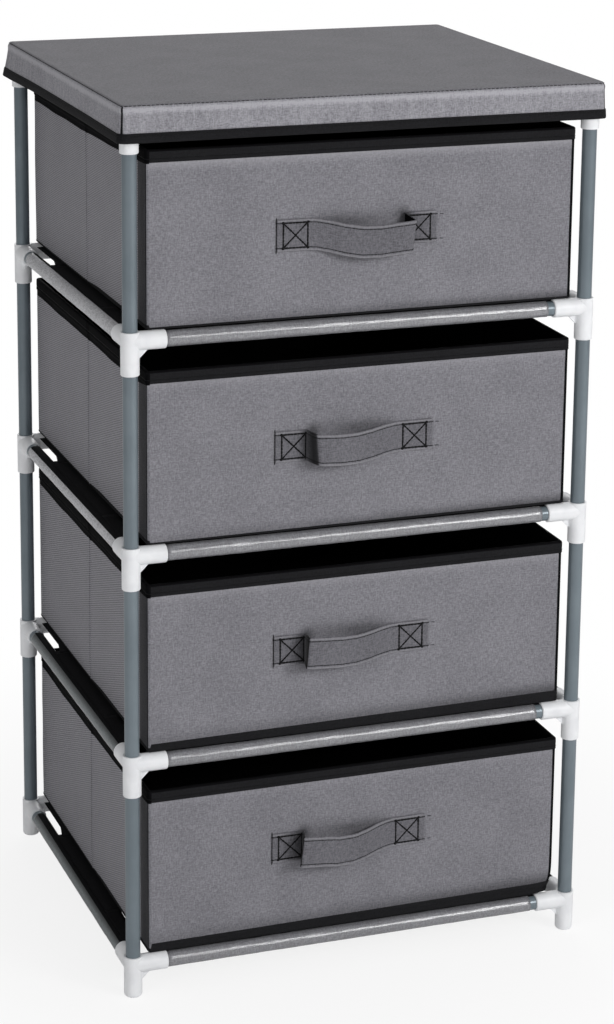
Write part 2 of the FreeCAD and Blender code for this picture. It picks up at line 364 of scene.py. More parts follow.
class Emboss(Enum):
    """How a cloth's face is figured."""

    WOVEN = "woven"
    DIAMOND = "diamond"
    STREAKED = "streaked"
    SMOOTH = "smooth"


@dataclass(frozen=True)
class Cloth:
    """Cloth of mixed light and dark fibres, woven, embossed or streaked, which may take painted shade and
    painted highlight.
    """

    name: str
    dark: str
    light: str
    emboss: Emboss = Emboss.WOVEN
    where: Place = Place.CLOTH
    contrast: float = 1.0
    rough: float = 0.85
    sheen: float = 0.1
    specular: float = 0.25
    dense: float = 1.45
    figure: tuple[float, float] = (6.0, 2.1)
    relief: float = 0.00022
    # A painted highlight: the cloth is made paler in a band of its along-coordinate, rising from the first
    # value to the second and falling to the third.
    pale: tuple[float, float, float] | None = None
    # Whether the cloth takes painted shade and painted highlight from the point attribute 'fold'.
    takes_painted_shading: bool = False

    def build(self) -> bpy.types.Material:
        """Make the material.

        Returns:
            The material.
        """
        tree = FinishTree(self.name)
        here = tree.place(self.where)
        warp = tree.grain(tree.place(self.where, (1.0, 0.22, 1.0)), 900.0, 2.0, 0.6)
        weft = tree.grain(tree.place(self.where, (0.22, 1.0, 1.0)), 900.0, 2.0, 0.6)
        speck = tree.grain(here, 620.0, 2.0, 0.7)
        clouds = tree.grain(here, 22.0, 3.0)
        mottle = (warp + weft + speck) * (1 / 3)
        spread = 0.16 / self.contrast
        tone = mottle.step(0.5 - spread, 0.5 + spread) * 0.85 + clouds.step(0.3, 0.7) * 0.15
        height = mottle
        across, along, _ = tree.parts(here)
        if self.emboss is Emboss.DIAMOND:
            wide, tall = (math.pi / (side * MM) for side in self.figure)
            one = abs((across * wide + along * tall).sine())
            two = abs((across * wide - along * tall).sine())
            cell = (one * two).step(0.08, 0.55)
            # The tone is darker in the diamond's grooves: painted shade in the emboss's recesses, over its
            # real bump.
            tone = cell * 0.72 + tone * 0.28
            height = cell * 0.8 + mottle * 0.3
        elif self.emboss is Emboss.STREAKED:
            streak = tree.grain(tree.place(self.where, (1.0, 0.12, 1.0)), 260.0, 3.0, 0.65)
            tone = tone * 0.8 + streak.step(0.32, 0.7) * 0.2
            height = mottle * 0.9 + streak * 0.25
        elif self.emboss is Emboss.WOVEN:
            thread = TURN / (1.1 * MM)
            height = (across * thread).sine() * (along * thread).sine() * 0.25 + mottle
        # The painted highlight band.
        if self.pale:
            low, middle, high = self.pale
            tone = tone + along.step(low, middle) * (1.0 - along.step(middle, high)) * 0.55
        colour = tree.blend(tone, swatch(self.dark), swatch(self.light))
        # Painted light: where the point attribute 'fold' is below 0 the colour is lightened towards pale
        # grey, a painted highlight, and where it is above 0 it is darkened towards near-black, painted shade.
        if self.takes_painted_shading:
            kept = tree.add("ShaderNodeAttribute", {"attribute_name": "fold"})
            fold = Signal(tree, kept.outputs["Fac"])
            colour = tree.blend(fold * -1.0, colour, swatch(PAINTED_HIGHLIGHT_PALE))
            colour = tree.blend(fold, colour, swatch(PAINTED_SHADE_BLACK))
        return tree.finish({
            "Base Color": colour,
            "Roughness": self.rough,
            "IOR": self.dense,
            "Specular IOR Level": self.specular,
            "Sheen Weight": self.sheen,
            "Sheen Roughness": 0.5,
            "Normal": tree.relief(height, self.relief, 0.8),
        })


@dataclass(frozen=True)
class Thread:
    """Twisted sewing thread."""

    name: str
    colour: str
    twisted: str = "1c1c1f"

    def build(self) -> bpy.types.Material:
        """Make the material.

        Returns:
            The material.
        """
        tree = FinishTree(self.name)
        twist = tree.grain(tree.place(Place.OBJECT), 2600.0, 1.0)
        return tree.finish({
            "Base Color": tree.blend(twist * 0.4, swatch(self.colour), swatch(self.twisted)),
            "Roughness": 0.7,
            "Specular IOR Level": 0.2,
            "Normal": tree.relief(twist, 0.0001, 0.5),
        })


@dataclass(frozen=True)
class PressedBoard:
    """Grey-brown pressed board with flecks of fibre."""

    name: str
    colour: str
    fleck: str

    def build(self) -> bpy.types.Material:
        """Make the material.

        Returns:
            The material.
        """
        tree = FinishTree(self.name)
        fibre = tree.grain(tree.place(Place.OBJECT, (1.0, 0.3, 1.0)), 420.0, 3.0)
        pulp = tree.grain(tree.place(Place.OBJECT), 90.0, 4.0)
        flecks = fibre.step(0.45, 0.75) * 0.7 + pulp * 0.3
        return tree.finish({
            "Base Color": tree.blend(flecks, swatch(self.colour), swatch(self.fleck)),
            "Roughness": 0.82 + pulp * 0.1,
            "Normal": tree.relief(fibre * 0.6 + pulp * 0.4, 0.0002, 0.6),
        })


@dataclass(frozen=True)
class StudioFloor:
    """A pale floor that shows the object's shadow and melts into the backdrop.

    To the camera it is mixed with plain white, whose share grows from `least` at the distance `near`
    from the origin to 1 at `far`.
    """

    name: str
    colour: float = 0.97
    near: float = 0.22
    far: float = 0.75
    least: float = 0.84

    def build(self) -> bpy.types.Material:
        """Make the material.

        Returns:
            The material.
        """
        tree = FinishTree(self.name)
        spot = tree.add("ShaderNodeVectorMath", {"operation": "LENGTH"}, {0: tree.place(Place.OBJECT)})
        away = Signal(tree, spot.outputs["Value"]).step(self.near, self.far) * (1.0 - self.least) + self.least
        rays = tree.add("ShaderNodeLightPath")
        seen = Signal(tree, rays.outputs["Is Camera Ray"])
        plain = tree.add("ShaderNodeBsdfDiffuse", None, {"Color": (self.colour,) * 3 + (1.0,)})
        white = tree.add("ShaderNodeEmission", None, {"Color": (1, 1, 1, 1), "Strength": 1.0})
        mixed = tree.add("ShaderNodeMixShader", None, {
            0: (seen * away).maths("MINIMUM", 1.0),
            1: plain.outputs[0],
            2: white.outputs[0],
        })
        tree.add("ShaderNodeOutputMaterial", None, {0: mixed.outputs[0]})
        return tree.material


def made(finish: PaintedSteel | MouldedPlastic | Cloth | Thread | PressedBoard) -> bpy.types.Material:
    """Leave a finish to be built when the set of finishes is."""
    return field(default_factory=finish.build)


@dataclass
class Finishes:
    """Every finish of the dresser, made once."""

    post: bpy.types.Material = made(PaintedSteel("post_paint", "6d787f", "7d888f"))
    plastic: bpy.types.Material = made(MouldedPlastic("connector_plastic", "f1f2f4", "e6e7ea"))
    front: bpy.types.Material = made(Cloth("heather_front", "65646a", "929197", takes_painted_shading=True))
    side: bpy.types.Material = made(
        Cloth("embossed_side", "504f55", "aaa9af", Emboss.DIAMOND, contrast=0.7, relief=0.0004)
    )
    strap: bpy.types.Material = made(Cloth("strap_cloth", "504f54", "7b7a80", takes_painted_shading=True))
    lid: bpy.types.Material = made(Cloth("lid_cloth", "636267", "8b8a8f", contrast=0.9, sheen=0.05))
    # The skirt's pale band, just under its rolled top edge, is a painted highlight.
    skirt: bpy.types.Material = made(
        Cloth("skirt_cloth", "6a696f", "aaa9af", Emboss.STREAKED, pale=(0.793, 0.7975, 0.8012))
    )
    binding: bpy.types.Material = made(Cloth("binding_cloth", "0c0c0e", "1d1d20", contrast=0.8, sheen=0.02))
    strip: bpy.types.Material = made(Cloth("corner_strip_cloth", "2c2c30", "4a494e", contrast=0.8))
    lining: bpy.types.Material = made(
        Cloth("lining_cloth", "060607", "0e0e10", Emboss.SMOOTH, rough=0.95, sheen=0.0, specular=0.1)
    )
    sheet: bpy.types.Material = made(
        Cloth("shelf_sheet_cloth", "0c0c0e", "161618", Emboss.SMOOTH, sheen=0.0, specular=0.15)
    )
    casing: bpy.types.Material = made(
        Cloth("casing_cloth", "606064", "8c8c91", rough=0.26, specular=1.0, dense=1.7, relief=0.00012)
    )
    pale_casing: bpy.types.Material = made(
        Cloth("pale_casing_cloth", "98989c", "dcdcdf", contrast=1.4, rough=0.4, specular=0.6, relief=0.0003)
    )
    dark_casing: bpy.types.Material = made(
        Cloth("dark_casing_cloth", "5a6062", "7e8486", rough=0.3, dense=1.6, relief=0.00015, takes_painted_shading=True)
    )
    thread: bpy.types.Material = made(Thread("black_thread", "070708"))
    board: bpy.types.Material = made(PressedBoard("pressed_board", "5f554a", "837869"))
    covered: bpy.types.Material = made(
        Cloth(
            "covered_board", "0b0b0c", "161618", Emboss.SMOOTH, Place.OBJECT,
            rough=0.95, sheen=0.0, specular=0.1,
        )
    )


# ---------------------------------------------------------------- shaping

def wave(places: np.ndarray, scale: float, seed: float) -> np.ndarray:
    """Give smooth noise from about -1 to 1 at each place.

    Args:
        places: Points, one to a row.
        scale: Features per metre.
        seed: Which of many patterns it is.

    Returns:
        One number for each point.
    """
    shift = Vector((seed * 7.3, seed * 3.1, seed * 5.7))
    return np.array([noise.noise(Vector(p) * scale + shift) for p in places])


def hill(value: np.ndarray, middle: float, width: float) -> np.ndarray:
    """Give a smooth hill of height 1 about a middle value."""
    return np.exp(-((value - middle) / width) ** 2)


def share_of(value: np.ndarray, low: float, high: float) -> np.ndarray:
    """Say how far each value has come from one limit to the other, from 0 to 1."""
    return np.clip((value - low) / (high - low), 0, 1)


def run_length(points: np.ndarray) -> np.ndarray:
    """Say how far along a line each of its points lies."""
    gaps = np.linalg.norm(np.diff(points, axis=0), axis=1)
    return np.concatenate([[0], np.cumsum(gaps)])


def points_at(places: np.ndarray, line: np.ndarray) -> np.ndarray:
    """Give the points that lie at some distances along a line."""
    length = run_length(line)
    return np.column_stack([np.interp(places, length, line[:, i]) for i in range(line.shape[1])])


def smooth_line(points: Sequence[Sequence[float]], soften: float, count: int) -> np.ndarray:
    """Round the corners of a line of straight runs and space it evenly.

    Args:
        points: The corners of the line.
        soften: How far the rounding reaches along it.
        count: How many even points come back.

    Returns:
        The even points, one to a row.
    """
    known = np.asarray(points, float)
    fine = 8
    reach = 3 * fine
    total = run_length(known)[-1]
    line = points_at(np.linspace(0, total, int(total / (soften / fine)) + 1), known)
    steps = np.arange(-reach, reach + 1)
    weight = np.exp(-((steps / fine) ** 2))
    weight /= weight.sum()
    first = line[0] + (line[1] - line[0]) * steps[:reach, None]
    last = line[-1] + (line[-1] - line[-2]) * steps[reach + 1:, None]
    longer = np.vstack([first, line, last])
    soft = np.column_stack([np.convolve(longer[:, i], weight, "valid") for i in range(line.shape[1])])
    return points_at(np.linspace(0, run_length(soft)[-1], count), soft)


def show(name: str, data: bpy.types.ID) -> bpy.types.Object:
    """Put data into the scene as an object.

    Args:
        name: The object's name.
        data: Its mesh, lamp or camera.

    Returns:
        The object.
    """
    thing = bpy.data.objects.new(name, data)
    bpy.context.scene.collection.objects.link(thing)
    return thing


def settled(thing: bpy.types.Object, name: str) -> bpy.types.Mesh:
    """Work an object's modifiers into a plain mesh of that name.

    Args:
        thing: The object.
        name: The mesh's name.

    Returns:
        The mesh.
    """
    view = bpy.context.evaluated_depsgraph_get()
    mesh = bpy.data.meshes.new_from_object(thing.evaluated_get(view), depsgraph=view)
    mesh.name = name
    return mesh


class Skin:
    """Patches of points gathered into one mesh object."""

    def __init__(self) -> None:
        """Start with nothing."""
        self.points: list[np.ndarray] = []
        self.faces: list[np.ndarray] = []
        self.cloth: list[np.ndarray] = []
        self.slots: list[np.ndarray] = []
        self.painted_shading: list[np.ndarray] = []
        self.count = 0

    def patch(
        self,
        grid: np.ndarray,
        cloth: np.ndarray,
        slots: np.ndarray | int = 0,
        fold: np.ndarray | float = 0.0,
    ) -> None:
        """Add a grid of points.

        Args:
            grid: Points, rows by columns by 3, that turn anticlockwise seen from outside.
            cloth: The place of each point on the flat cloth, rows by columns by 2, in metres.
            slots: The material number of each face, or one for all.
            fold: The painted shade of each point, from 0 to 1, as in a dark fold, or its painted highlight,
                below 0, as on a pale edge.
        """
        rows, columns = grid.shape[:2]
        at = self.count + np.arange(rows * columns).reshape(rows, columns)
        quads = np.stack([at[:-1, :-1], at[:-1, 1:], at[1:, 1:], at[1:, :-1]], axis=-1).reshape(-1, 4)
        self.points.append(grid.reshape(-1, 3))
        self.cloth.append(cloth.reshape(-1, 2))
        self.faces.append(quads)
        self.slots.append(np.broadcast_to(np.asarray(slots, int), (rows - 1, columns - 1)).reshape(-1))
        self.painted_shading.append(np.broadcast_to(fold, (rows, columns)).reshape(-1))
        self.count += rows * columns

    def build(
        self, name: str, materials: Sequence[bpy.types.Material], closed: bool = True
    ) -> bpy.types.Object:
        """Make the mesh object.

        Args:
            name: The piece's name.
            materials: Its materials, by number.
            closed: Whether the skin is closed, so that its outside can be found.

        Returns:
            The object, at the origin.
        """
        mesh = bpy.data.meshes.new(name)
        faces = np.vstack(self.faces)
        mesh.from_pydata(np.vstack(self.points).tolist(), [], faces.tolist())
        layer = mesh.uv_layers.new(name="UVMap")
        layer.data.foreach_set("uv", np.vstack(self.cloth)[faces.reshape(-1)].astype(np.float32).ravel())
        mesh.polygons.foreach_set("material_index", np.concatenate(self.slots).astype(np.int32))
        # The point attribute 'fold' carries painted shade, above 0, and painted highlight, below 0, for the
        # cloth materials.
        painted_shading = mesh.attributes.new("fold", "FLOAT", "POINT")
        painted_shading.data.foreach_set("value", np.concatenate(self.painted_shading).astype(np.float32))
        shape = bmesh.new()
        shape.from_mesh(mesh)
        bmesh.ops.remove_doubles(shape, verts=shape.verts, dist=WELD)
        if closed:
            bmesh.ops.recalc_face_normals(shape, faces=shape.faces)
        shape.to_mesh(mesh)
        shape.free()
        mesh.polygons.foreach_set("use_smooth", np.ones(len(mesh.polygons), bool))
        for material in materials:
            mesh.materials.append(material)
        return show(name, mesh)


class Side(IntEnum):
    """The four sides of a box, in the order in which its outline is walked."""

    FRONT = 0
    RIGHT = 1
    BACK = 2
    LEFT = 3


@dataclass
class Outline:
    """A rectangle with rounded corners, walked anticlockwise from the left end of its front."""

    low: tuple[float, float]
    high: tuple[float, float]
    corner: float
    across: np.ndarray
    depth: np.ndarray
    arc: int = 5

    def __post_init__(self) -> None:
        """Work out where each point of the walk stands and which way it faces."""
        walk: list[tuple[int, float, float]] = []
        for side in Side:
            steps = self.across if side in (Side.FRONT, Side.BACK) else self.depth
            steps = steps if side in (Side.FRONT, Side.RIGHT) else (1 - steps)[::-1]
            walk += [(int(side), 0.0, float(t)) for t in steps]
            walk += [(int(side), k / self.arc, 1.0) for k in range(1, self.arc)]
        self.side, self.turn, self.share = (np.array(column) for column in zip(*walk))
        angle = (self.side - 1 + self.turn) * math.pi / 2
        self.normals = np.column_stack([np.cos(angle), np.sin(angle)])
        ring = self.ring(0.0)
        self.x, self.y = ring[:, 0], ring[:, 1]
        self.length = run_length(np.vstack([ring, ring[:1]]))
        self.count = len(walk)

    def ring(self, out: float) -> np.ndarray:
        """Walk the outline at a distance outside it.

        Args:
            out: The distance outwards, or inwards where it is below 0.

        Returns:
            The points' x and y.
        """
        reach = max(self.corner, -out)
        radius = max(self.corner + out, 0.0)
        (x0, y0), (x1, y1) = self.low, self.high
        left, right, near, far = x0 + reach, x1 - reach, y0 + reach, y1 - reach
        centres = np.array([(left, near), (right, near), (right, far), (left, far), (left, near)])
        start, end = centres[self.side], centres[self.side + 1]
        return start + (end - start) * self.share[:, None] + radius * self.normals

    def middle(self, out: float) -> tuple[np.ndarray, np.ndarray]:
        """Give the grid that fills the ring once its corners are sharp.

        Args:
            out: The ring's distance outwards, at least a corner radius inside.

        Returns:
            The grid's x and y lines.
        """
        (x0, y0), (x1, y1) = self.low, self.high
        xs = x0 - out + (x1 - x0 + 2 * out) * self.across
        ys = y0 - out + (y1 - y0 + 2 * out) * self.depth
        return xs, ys

    def level(self, flat: np.ndarray, height: float) -> np.ndarray:
        """Give the walk's flat points, or ways, one height."""
        return np.column_stack([flat, np.full(self.count, height)])


@dataclass
class Row:
    """One ring of a sewn shell: how far out, how high, and what cloth runs up to it."""

    out: float
    height: np.ndarray | float
    slots: np.ndarray | int = 0
    bulge: np.ndarray | float = 0.0


class SewnShell:
    """A box of cloth made of rings walked round an outline."""

    def __init__(self, outline: Outline) -> None:
        """Keep the outline that every ring follows."""
        self.outline = outline
        self.skin = Skin()

    def wall(self, rows: Sequence[Row]) -> None:
        """Join rings into a wall.

        Args:
            rows: The rings, from the first edge to the last.
        """
        outline = self.outline
        grid, cloth, slots = [], [], []
        for row in rows:
            height = np.broadcast_to(row.height, outline.count)
            bulge = np.broadcast_to(row.bulge, outline.count)[:, None]
            ring = np.column_stack([outline.ring(row.out) + outline.normals * bulge, height])
            rise = height - row.out
            grid.append(np.vstack([ring, ring[:1]]))
            cloth.append(np.column_stack([outline.length, np.append(rise, rise[0])]))
            slots.append(np.broadcast_to(row.slots, outline.count))
        self.skin.patch(np.array(grid), np.array(cloth), np.array(slots[1:]))

    def sheet(
        self, out: float, height: Callable[[np.ndarray, np.ndarray], np.ndarray], slot: int, up: bool
    ) -> None:
        """Fill a ring with a flat or dished panel.

        Args:
            out: The ring's distance outwards.
            height: The panel's height at x and y.
            slot: Its material number.
            up: Whether it faces up.
        """
        x, y = np.meshgrid(*self.outline.middle(out))
        grid = np.dstack([x, y, height(x, y)])
        cloth = np.dstack([x, y])
        if not up:
            grid, cloth = grid[::-1], cloth[::-1]
        self.skin.patch(grid, cloth, slot)


# ---------------------------------------------------------------- stitches

@dataclass(frozen=True)
class Seam:
    """A line of stitches: its points on the cloth and which way the cloth faces there."""

    points: np.ndarray
    facing: np.ndarray
    bold: float = 1.0

    def closed(self) -> "Seam":
        """Join the seam's end to its start."""
        points, facing = (np.vstack([line, line[:1]]) for line in (self.points, self.facing))
        return Seam(points, facing, self.bold)


@dataclass(frozen=True)
class StitchRow:
    """Rows of thread stitches laid along seams by a node tree."""

    length: float = 4.1 * MM
    pitch: float = 3.05 * MM
    thick: float = 1.0 * MM
    seed: int = 7

    def tree(self) -> bpy.types.NodeTree:
        """Build the node tree, with its sizes as named inputs.

        Returns:
            The node tree, which ends in plain, painted stitches.
        """
        tree = bpy.data.node_groups.new("Stitches along a seam", "GeometryNodeTree")
        face = tree.interface
        face.new_socket("Seam", in_out="INPUT", socket_type="NodeSocketGeometry")
        for name, kind in (
            ("Stitch length", "NodeSocketFloat"),
            ("Stitch pitch", "NodeSocketFloat"),
            ("Thread thickness", "NodeSocketFloat"),
            ("Seed", "NodeSocketInt"),
            ("Thread", "NodeSocketMaterial"),
        ):
            face.new_socket(name, in_out="INPUT", socket_type=kind)
        face.new_socket("Stitches", in_out="OUTPUT", socket_type="NodeSocketGeometry")

        add = partial(add_node, tree)

        def times(one: bpy.types.NodeSocket, two: bpy.types.NodeSocket | float) -> bpy.types.NodeSocket:
            """Multiply two numbers."""
            return add("ShaderNodeMath", {"operation": "MULTIPLY"}, {0: one, 1: two}).outputs[0]

        given = add("NodeGroupInput").outputs
        line = add("GeometryNodeMeshToCurve", None, {0: given["Seam"]})
        dots = add(
            "GeometryNodeCurveToPoints",
            {"mode": "LENGTH"},
            {"Curve": line.outputs[0], "Length": given["Stitch pitch"]},
        )
        half = times(given["Stitch length"], 0.5)
        bold = add("GeometryNodeInputNamedAttribute", {"data_type": "FLOAT"}, {"Name": "bold"})
        thick = times(given["Thread thickness"], bold.outputs[0])
        wide = times(thick, 0.5)
        flat = times(thick, 0.35)
        size = add("ShaderNodeCombineXYZ", None, {0: half, 1: wide, 2: flat})
        spread = add("FunctionNodeRandomValue", {"data_type": "FLOAT_VECTOR"}, {
            "Min": (0.92, 0.85, 0.85), "Max": (1.08, 1.15, 1.1), "Seed": given["Seed"],
        })
        scaled = add(
            "ShaderNodeVectorMath", {"operation": "MULTIPLY"}, {0: size.outputs[0], 1: spread.outputs[0]}
        )
        bead = add("GeometryNodeMeshUVSphere", None, {"Segments": 6, "Rings": 5, "Radius": 1.0})
        lying = add("GeometryNodeTransform", None, {
            "Geometry": bead.outputs["Mesh"], "Rotation": (0.0, math.pi / 2, 0.0),
        })
        along = add("FunctionNodeAlignRotationToVector", {"axis": "X"}, {"Vector": dots.outputs["Tangent"]})
        facing = add("GeometryNodeInputNamedAttribute", {"data_type": "FLOAT_VECTOR"}, {"Name": "facing"})
        upright = add(
            "FunctionNodeAlignRotationToVector",
            {"axis": "Z", "pivot_axis": "X"},
            {"Rotation": along.outputs[0], "Vector": facing.outputs[0]},
        )
        laid = add("GeometryNodeInstanceOnPoints", None, {
            "Points": dots.outputs["Points"],
            "Instance": lying.outputs[0],
            "Rotation": upright.outputs[0],
            "Scale": scaled.outputs[0],
        })
        real = add("GeometryNodeRealizeInstances", None, {0: laid.outputs[0]})
        painted = add(
            "GeometryNodeSetMaterial", None, {"Geometry": real.outputs[0], "Material": given["Thread"]}
        )
        add("NodeGroupOutput", None, {0: painted.outputs[0]})
        return tree

    def sew(self, name: str, seams: Sequence[Seam], thread: bpy.types.Material) -> bpy.types.Object:
        """Lay stitches along seams and turn them into a plain mesh.

        Args:
            name: The piece's name.
            seams: The lines to sew.
            thread: The thread's material.

        Returns:
            The stitches, as one object at the origin.
        """
        path = bpy.data.meshes.new(name + "_path")
        points = np.vstack([seam.points for seam in seams])
        edges: list[tuple[int, int]] = []
        start = 0
        for seam in seams:
            count = len(seam.points)
            edges += [(start + i, start + i + 1) for i in range(count - 1)]
            start += count
        path.from_pydata(points.tolist(), edges, [])
        facing = path.attributes.new("facing", "FLOAT_VECTOR", "POINT")
        ways = np.vstack([seam.facing for seam in seams]).astype(np.float32)
        facing.data.foreach_set("vector", ways.ravel())
        bold = path.attributes.new("bold", "FLOAT", "POINT")
        weights = [np.full(len(seam.points), seam.bold) for seam in seams]
        bold.data.foreach_set("value", np.concatenate(weights))
        carrier = show(name + "_path", path)
        maker = carrier.modifiers.new("Stitches", "NODES")
        maker.node_group = self.tree()
        values = {
            "Stitch length": self.length,
            "Stitch pitch": self.pitch,
            "Thread thickness": self.thick,
            "Seed": self.seed,
            "Thread": thread,
        }
        for item in maker.node_group.interface.items_tree:
            if item.name in values:
                maker[item.identifier] = values[item.name]
        mesh = settled(carrier, name)
        bpy.data.objects.remove(carrier)
        bpy.data.meshes.remove(path)
        mesh.polygons.foreach_set("use_smooth", np.ones(len(mesh.polygons), bool))
        return show(name, mesh)


# ---------------------------------------------------------------- the frame

@dataclass
class TubeFrame:
    """The painted tubes, moulded corners and boards, which keep their solids and take new finishes."""

    finishes: Finishes

    def dress(self) -> None:
        """Finish every post, rail, corner and board."""
        for name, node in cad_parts.items():
            if name.startswith(("post_", "rail_", "top_rails")):
                self.paint(node, self.finishes.post)
            elif "connector" in name:
                self.paint(node, self.finishes.plastic)
            elif name.endswith("base_board"):
                self.paint(node, self.finishes.covered)
            elif name == "lid_board":
                self.paint(node, self.finishes.board)
        LOG.info("frame: painted tubes, moulded corners and boards")

    def paint(self, node: bpy.types.Object, material: bpy.types.Material) -> None:
        """Put one material on all of a node."""
        for slot in node.material_slots:
            slot.material = material


class CasingFace(IntEnum):
    """The materials of a shelf's casings, by number."""

    GREY = 0
    FLANK = 1
    BLACK = 2


@dataclass(frozen=True)
class RailRun:
    """How a casing lies on its rail, and between which angles round it, in degrees, it is black."""

    along: int
    inward: float
    turned: bool
    dark: tuple[float, float]


RAIL_RUNS = {
    "front": RailRun(0, 1.0, False, (450, 450)),
    "back": RailRun(0, -1.0, True, (300, 450)),
    "left": RailRun(1, 1.0, True, (408, 450)),
    "right": RailRun(1, -1.0, False, (408, 450)),
}


@dataclass
class Shelf:
    """A black cloth sheet stretched between four rails, which run through grey casings.

    Angles round a casing are in degrees, from 90 at its top, by way of its outer side, to 450. The side
    casings are of paler cloth from shelf `first_pale` up. On all shelves but the highest they are black
    down to `black_to`, whose second angle is for the paler cloth. On the darker cloth painted shade carries
    the black on and fades out at the first angle of `fade`, over as many degrees as its second, and
    `painted_highlight_line` is the place and width of a painted highlight, the palest line.
    """

    number: int
    finishes: Finishes
    radius: float = 6.95 * MM
    sheet_thick: float = 0.6 * MM
    casing_thick: float = 0.22 * MM
    bare: tuple[float, float] = (21.9 * MM, 28.0 * MM)
    flap: float = 13.5 * MM
    notch: tuple[float, float] = (46 * MM, 92 * MM)
    web: float = 15.5 * MM
    web_taper: float = 1.5 * MM
    web_end: float = 25 * MM
    web_drop: float = 0.75 * MM
    slit_edge: tuple[float, float] = (6.6 * MM, 10.8 * MM)
    slit_bend: float = 0.26
    strip_end: float = 13 * MM
    tongue_end: float = 26 * MM
    tongue_deep: float = 12 * MM
    sheet_drop: float = 0.3 * MM
    sag: float = 1.2 * MM
    black_to: tuple[float, float] = (108.0, 126.0)
    fade: tuple[float, float] = (152.0, 42.0)
    painted_shade_depth: float = 0.94
    painted_highlight_line: tuple[float, float] = (215.0, 17.0)
    first_pale: int = 3
    around: int = 44
    along: int = 110
    cut_lines: tuple[int, int] = (5, 10)
    main_lines: tuple[int, int] = (40, 20)

    def __post_init__(self) -> None:
        """Read where the rails are."""
        self.rails = {side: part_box(f"rail_{self.number}_{side}") for side in RAIL_RUNS}
        middle = {side: (low + high) / 2 for side, (low, high) in self.rails.items()}
        self.axis_z = middle["front"].z
        self.x = (middle["left"].x, middle["right"].x)
        self.y = (middle["front"].y, middle["back"].y)
        self.centre = {"front": self.y[0], "back": self.y[1], "left": self.x[0], "right": self.x[1]}
        self.top = self.axis_z + self.radius
        self.pale = self.number >= self.first_pale
        self.area = 0.0

    def sleeve(self, side: str, section: np.ndarray, start: float, end: float) -> np.ndarray:
        """Run a section along a rail, a little wrinkled.

        Args:
            side: Which rail.
            section: The section's points, inwards from the axis and up from it.
            start: Where it begins along the rail.
            end: Where it ends.

        Returns:
            The points, places along the rail by points of the section.
        """
        run = RAIL_RUNS[side]
        seed = self.number + 3 * len(side)
        grid = []
        for place in np.linspace(start, end, self.along):
            spots = np.column_stack([np.full(len(section), place * 2.2), section * 24])
            ripple = wave(spots, 20.0, seed) * 0.2 * MM + wave(spots, 75.0, seed + 1) * 0.13 * MM
            turned = section * (1 + np.maximum(ripple, -0.18 * MM) / self.radius)[:, None]
            ring = np.empty((len(section), 3))
            ring[:, run.along] = place
            ring[:, 1 - run.along] = self.centre[side] + turned[:, 0] * run.inward
            ring[:, 2] = self.axis_z + turned[:, 1]
            grid.append(ring)
        return np.array(grid[::-1] if run.turned else grid)

    def casing(self, skin: Skin, side: str) -> Seam:
        """Add the casing on one rail and the flap that joins it to the sheet.

        Args:
            skin: The skin that the casing joins.
            side: Which rail.

        Returns:
            The seam along the flap.
        """
        run = RAIL_RUNS[side]
        flank = run.along == 1
        low, high = (corner[run.along] for corner in self.rails[side])
        angles = np.radians(np.linspace(90, 450, self.around + 1))
        circle = np.column_stack([np.cos(angles), np.sin(angles)]) * self.radius
        tube = self.sleeve(side, circle, low + self.bare[0], high - self.bare[1])
        steps = np.linspace(0, self.radius * TURN, self.around + 1)
        slots = np.full(self.around, CasingFace.FLANK if flank else CasingFace.GREY)
        dark_from, dark_to = (math.radians(angle) for angle in run.dark)
        slots[(angles[:-1] >= dark_from) & (angles[1:] <= dark_to + 0.01)] = CasingFace.BLACK
        if flank and self.number < SHELVES:
            lower, upper = self.black_to
            slots[angles[:-1] < math.radians(upper if self.pale else lower)] = CasingFace.BLACK
        # Painted light on the darker side casings: painted shade that carries the black down the tube and
        # fades out, and a painted highlight line at `painted_highlight_line`.
        fold = np.zeros(self.around + 1)
        if flank and not self.pale:
            turn = np.degrees(angles)
            end, width = self.fade
            fold = self.painted_shade_depth * np.clip((end - turn) / width, 0, 1) - hill(turn, *self.painted_highlight_line)
        self.lay(skin, tube, steps, run, slots, fold)
        reach = self.y if flank else self.x
        tail = np.array([[4.9, -5.0], [8.0, -2.2], [11.0, 2.6], [self.flap / MM, 5.9]]) * MM
        notch = self.notch[run.along]
        flap = self.sleeve(side, tail, reach[0] + notch, reach[1] - notch)
        flap_slot = CasingFace.BLACK if flank else CasingFace.GREY
        self.lay(skin, flap, np.array([0, 4, 10, 14]) * MM, run, flap_slot)
        line = flap[:, -2] + np.array([0, 0, -0.2 * MM])
        return Seam(line, np.tile([0.0, 0.0, -1.0], (len(line), 1)))

    def lay(
        self,
        skin: Skin,
        grid: np.ndarray,
        steps: np.ndarray,
        run: RailRun,
        slots: np.ndarray | int,
        fold: np.ndarray | float = 0.0,
    ) -> None:
        """Add a sleeve or flap, with its cloth running along the rail.

        Args:
            skin: The skin to add it to.
            grid: Its points.
            steps: How far round the rail each column of them lies.
            run: How the casing lies on its rail.
            slots: The material number of each face, or one for all.
            fold: The painted shade of each column, from 0 to 1, or its painted highlight, below 0.
        """
        cloth = np.dstack([grid[:, :, run.along], np.broadcast_to(steps, grid.shape[:2])])
        skin.patch(grid, cloth, slots, fold)

    def lines(self, axis: int) -> tuple[np.ndarray, list[slice]]:
        """Space the sheet's grid lines along one axis, with one at the end of each corner cut.

        Args:
            axis: 0 along x, 1 along y.

        Returns:
            The lines, and the slices of them that take in the first cut, the middle and the last cut.
        """
        low, high = (self.x, self.y)[axis]
        notch, cut, main = self.notch[axis], self.cut_lines[axis], self.main_lines[axis]
        first = np.linspace(low, low + notch, cut)
        middle = np.linspace(low + notch, high - notch, main)[1:]
        last = np.linspace(high - notch, high, cut)[1:]
        near, far = cut - 1, cut + main - 2
        stretches = [slice(0, near + 1), slice(near, far + 1), slice(far, None)]
        return np.concatenate([first, middle, last]), stretches

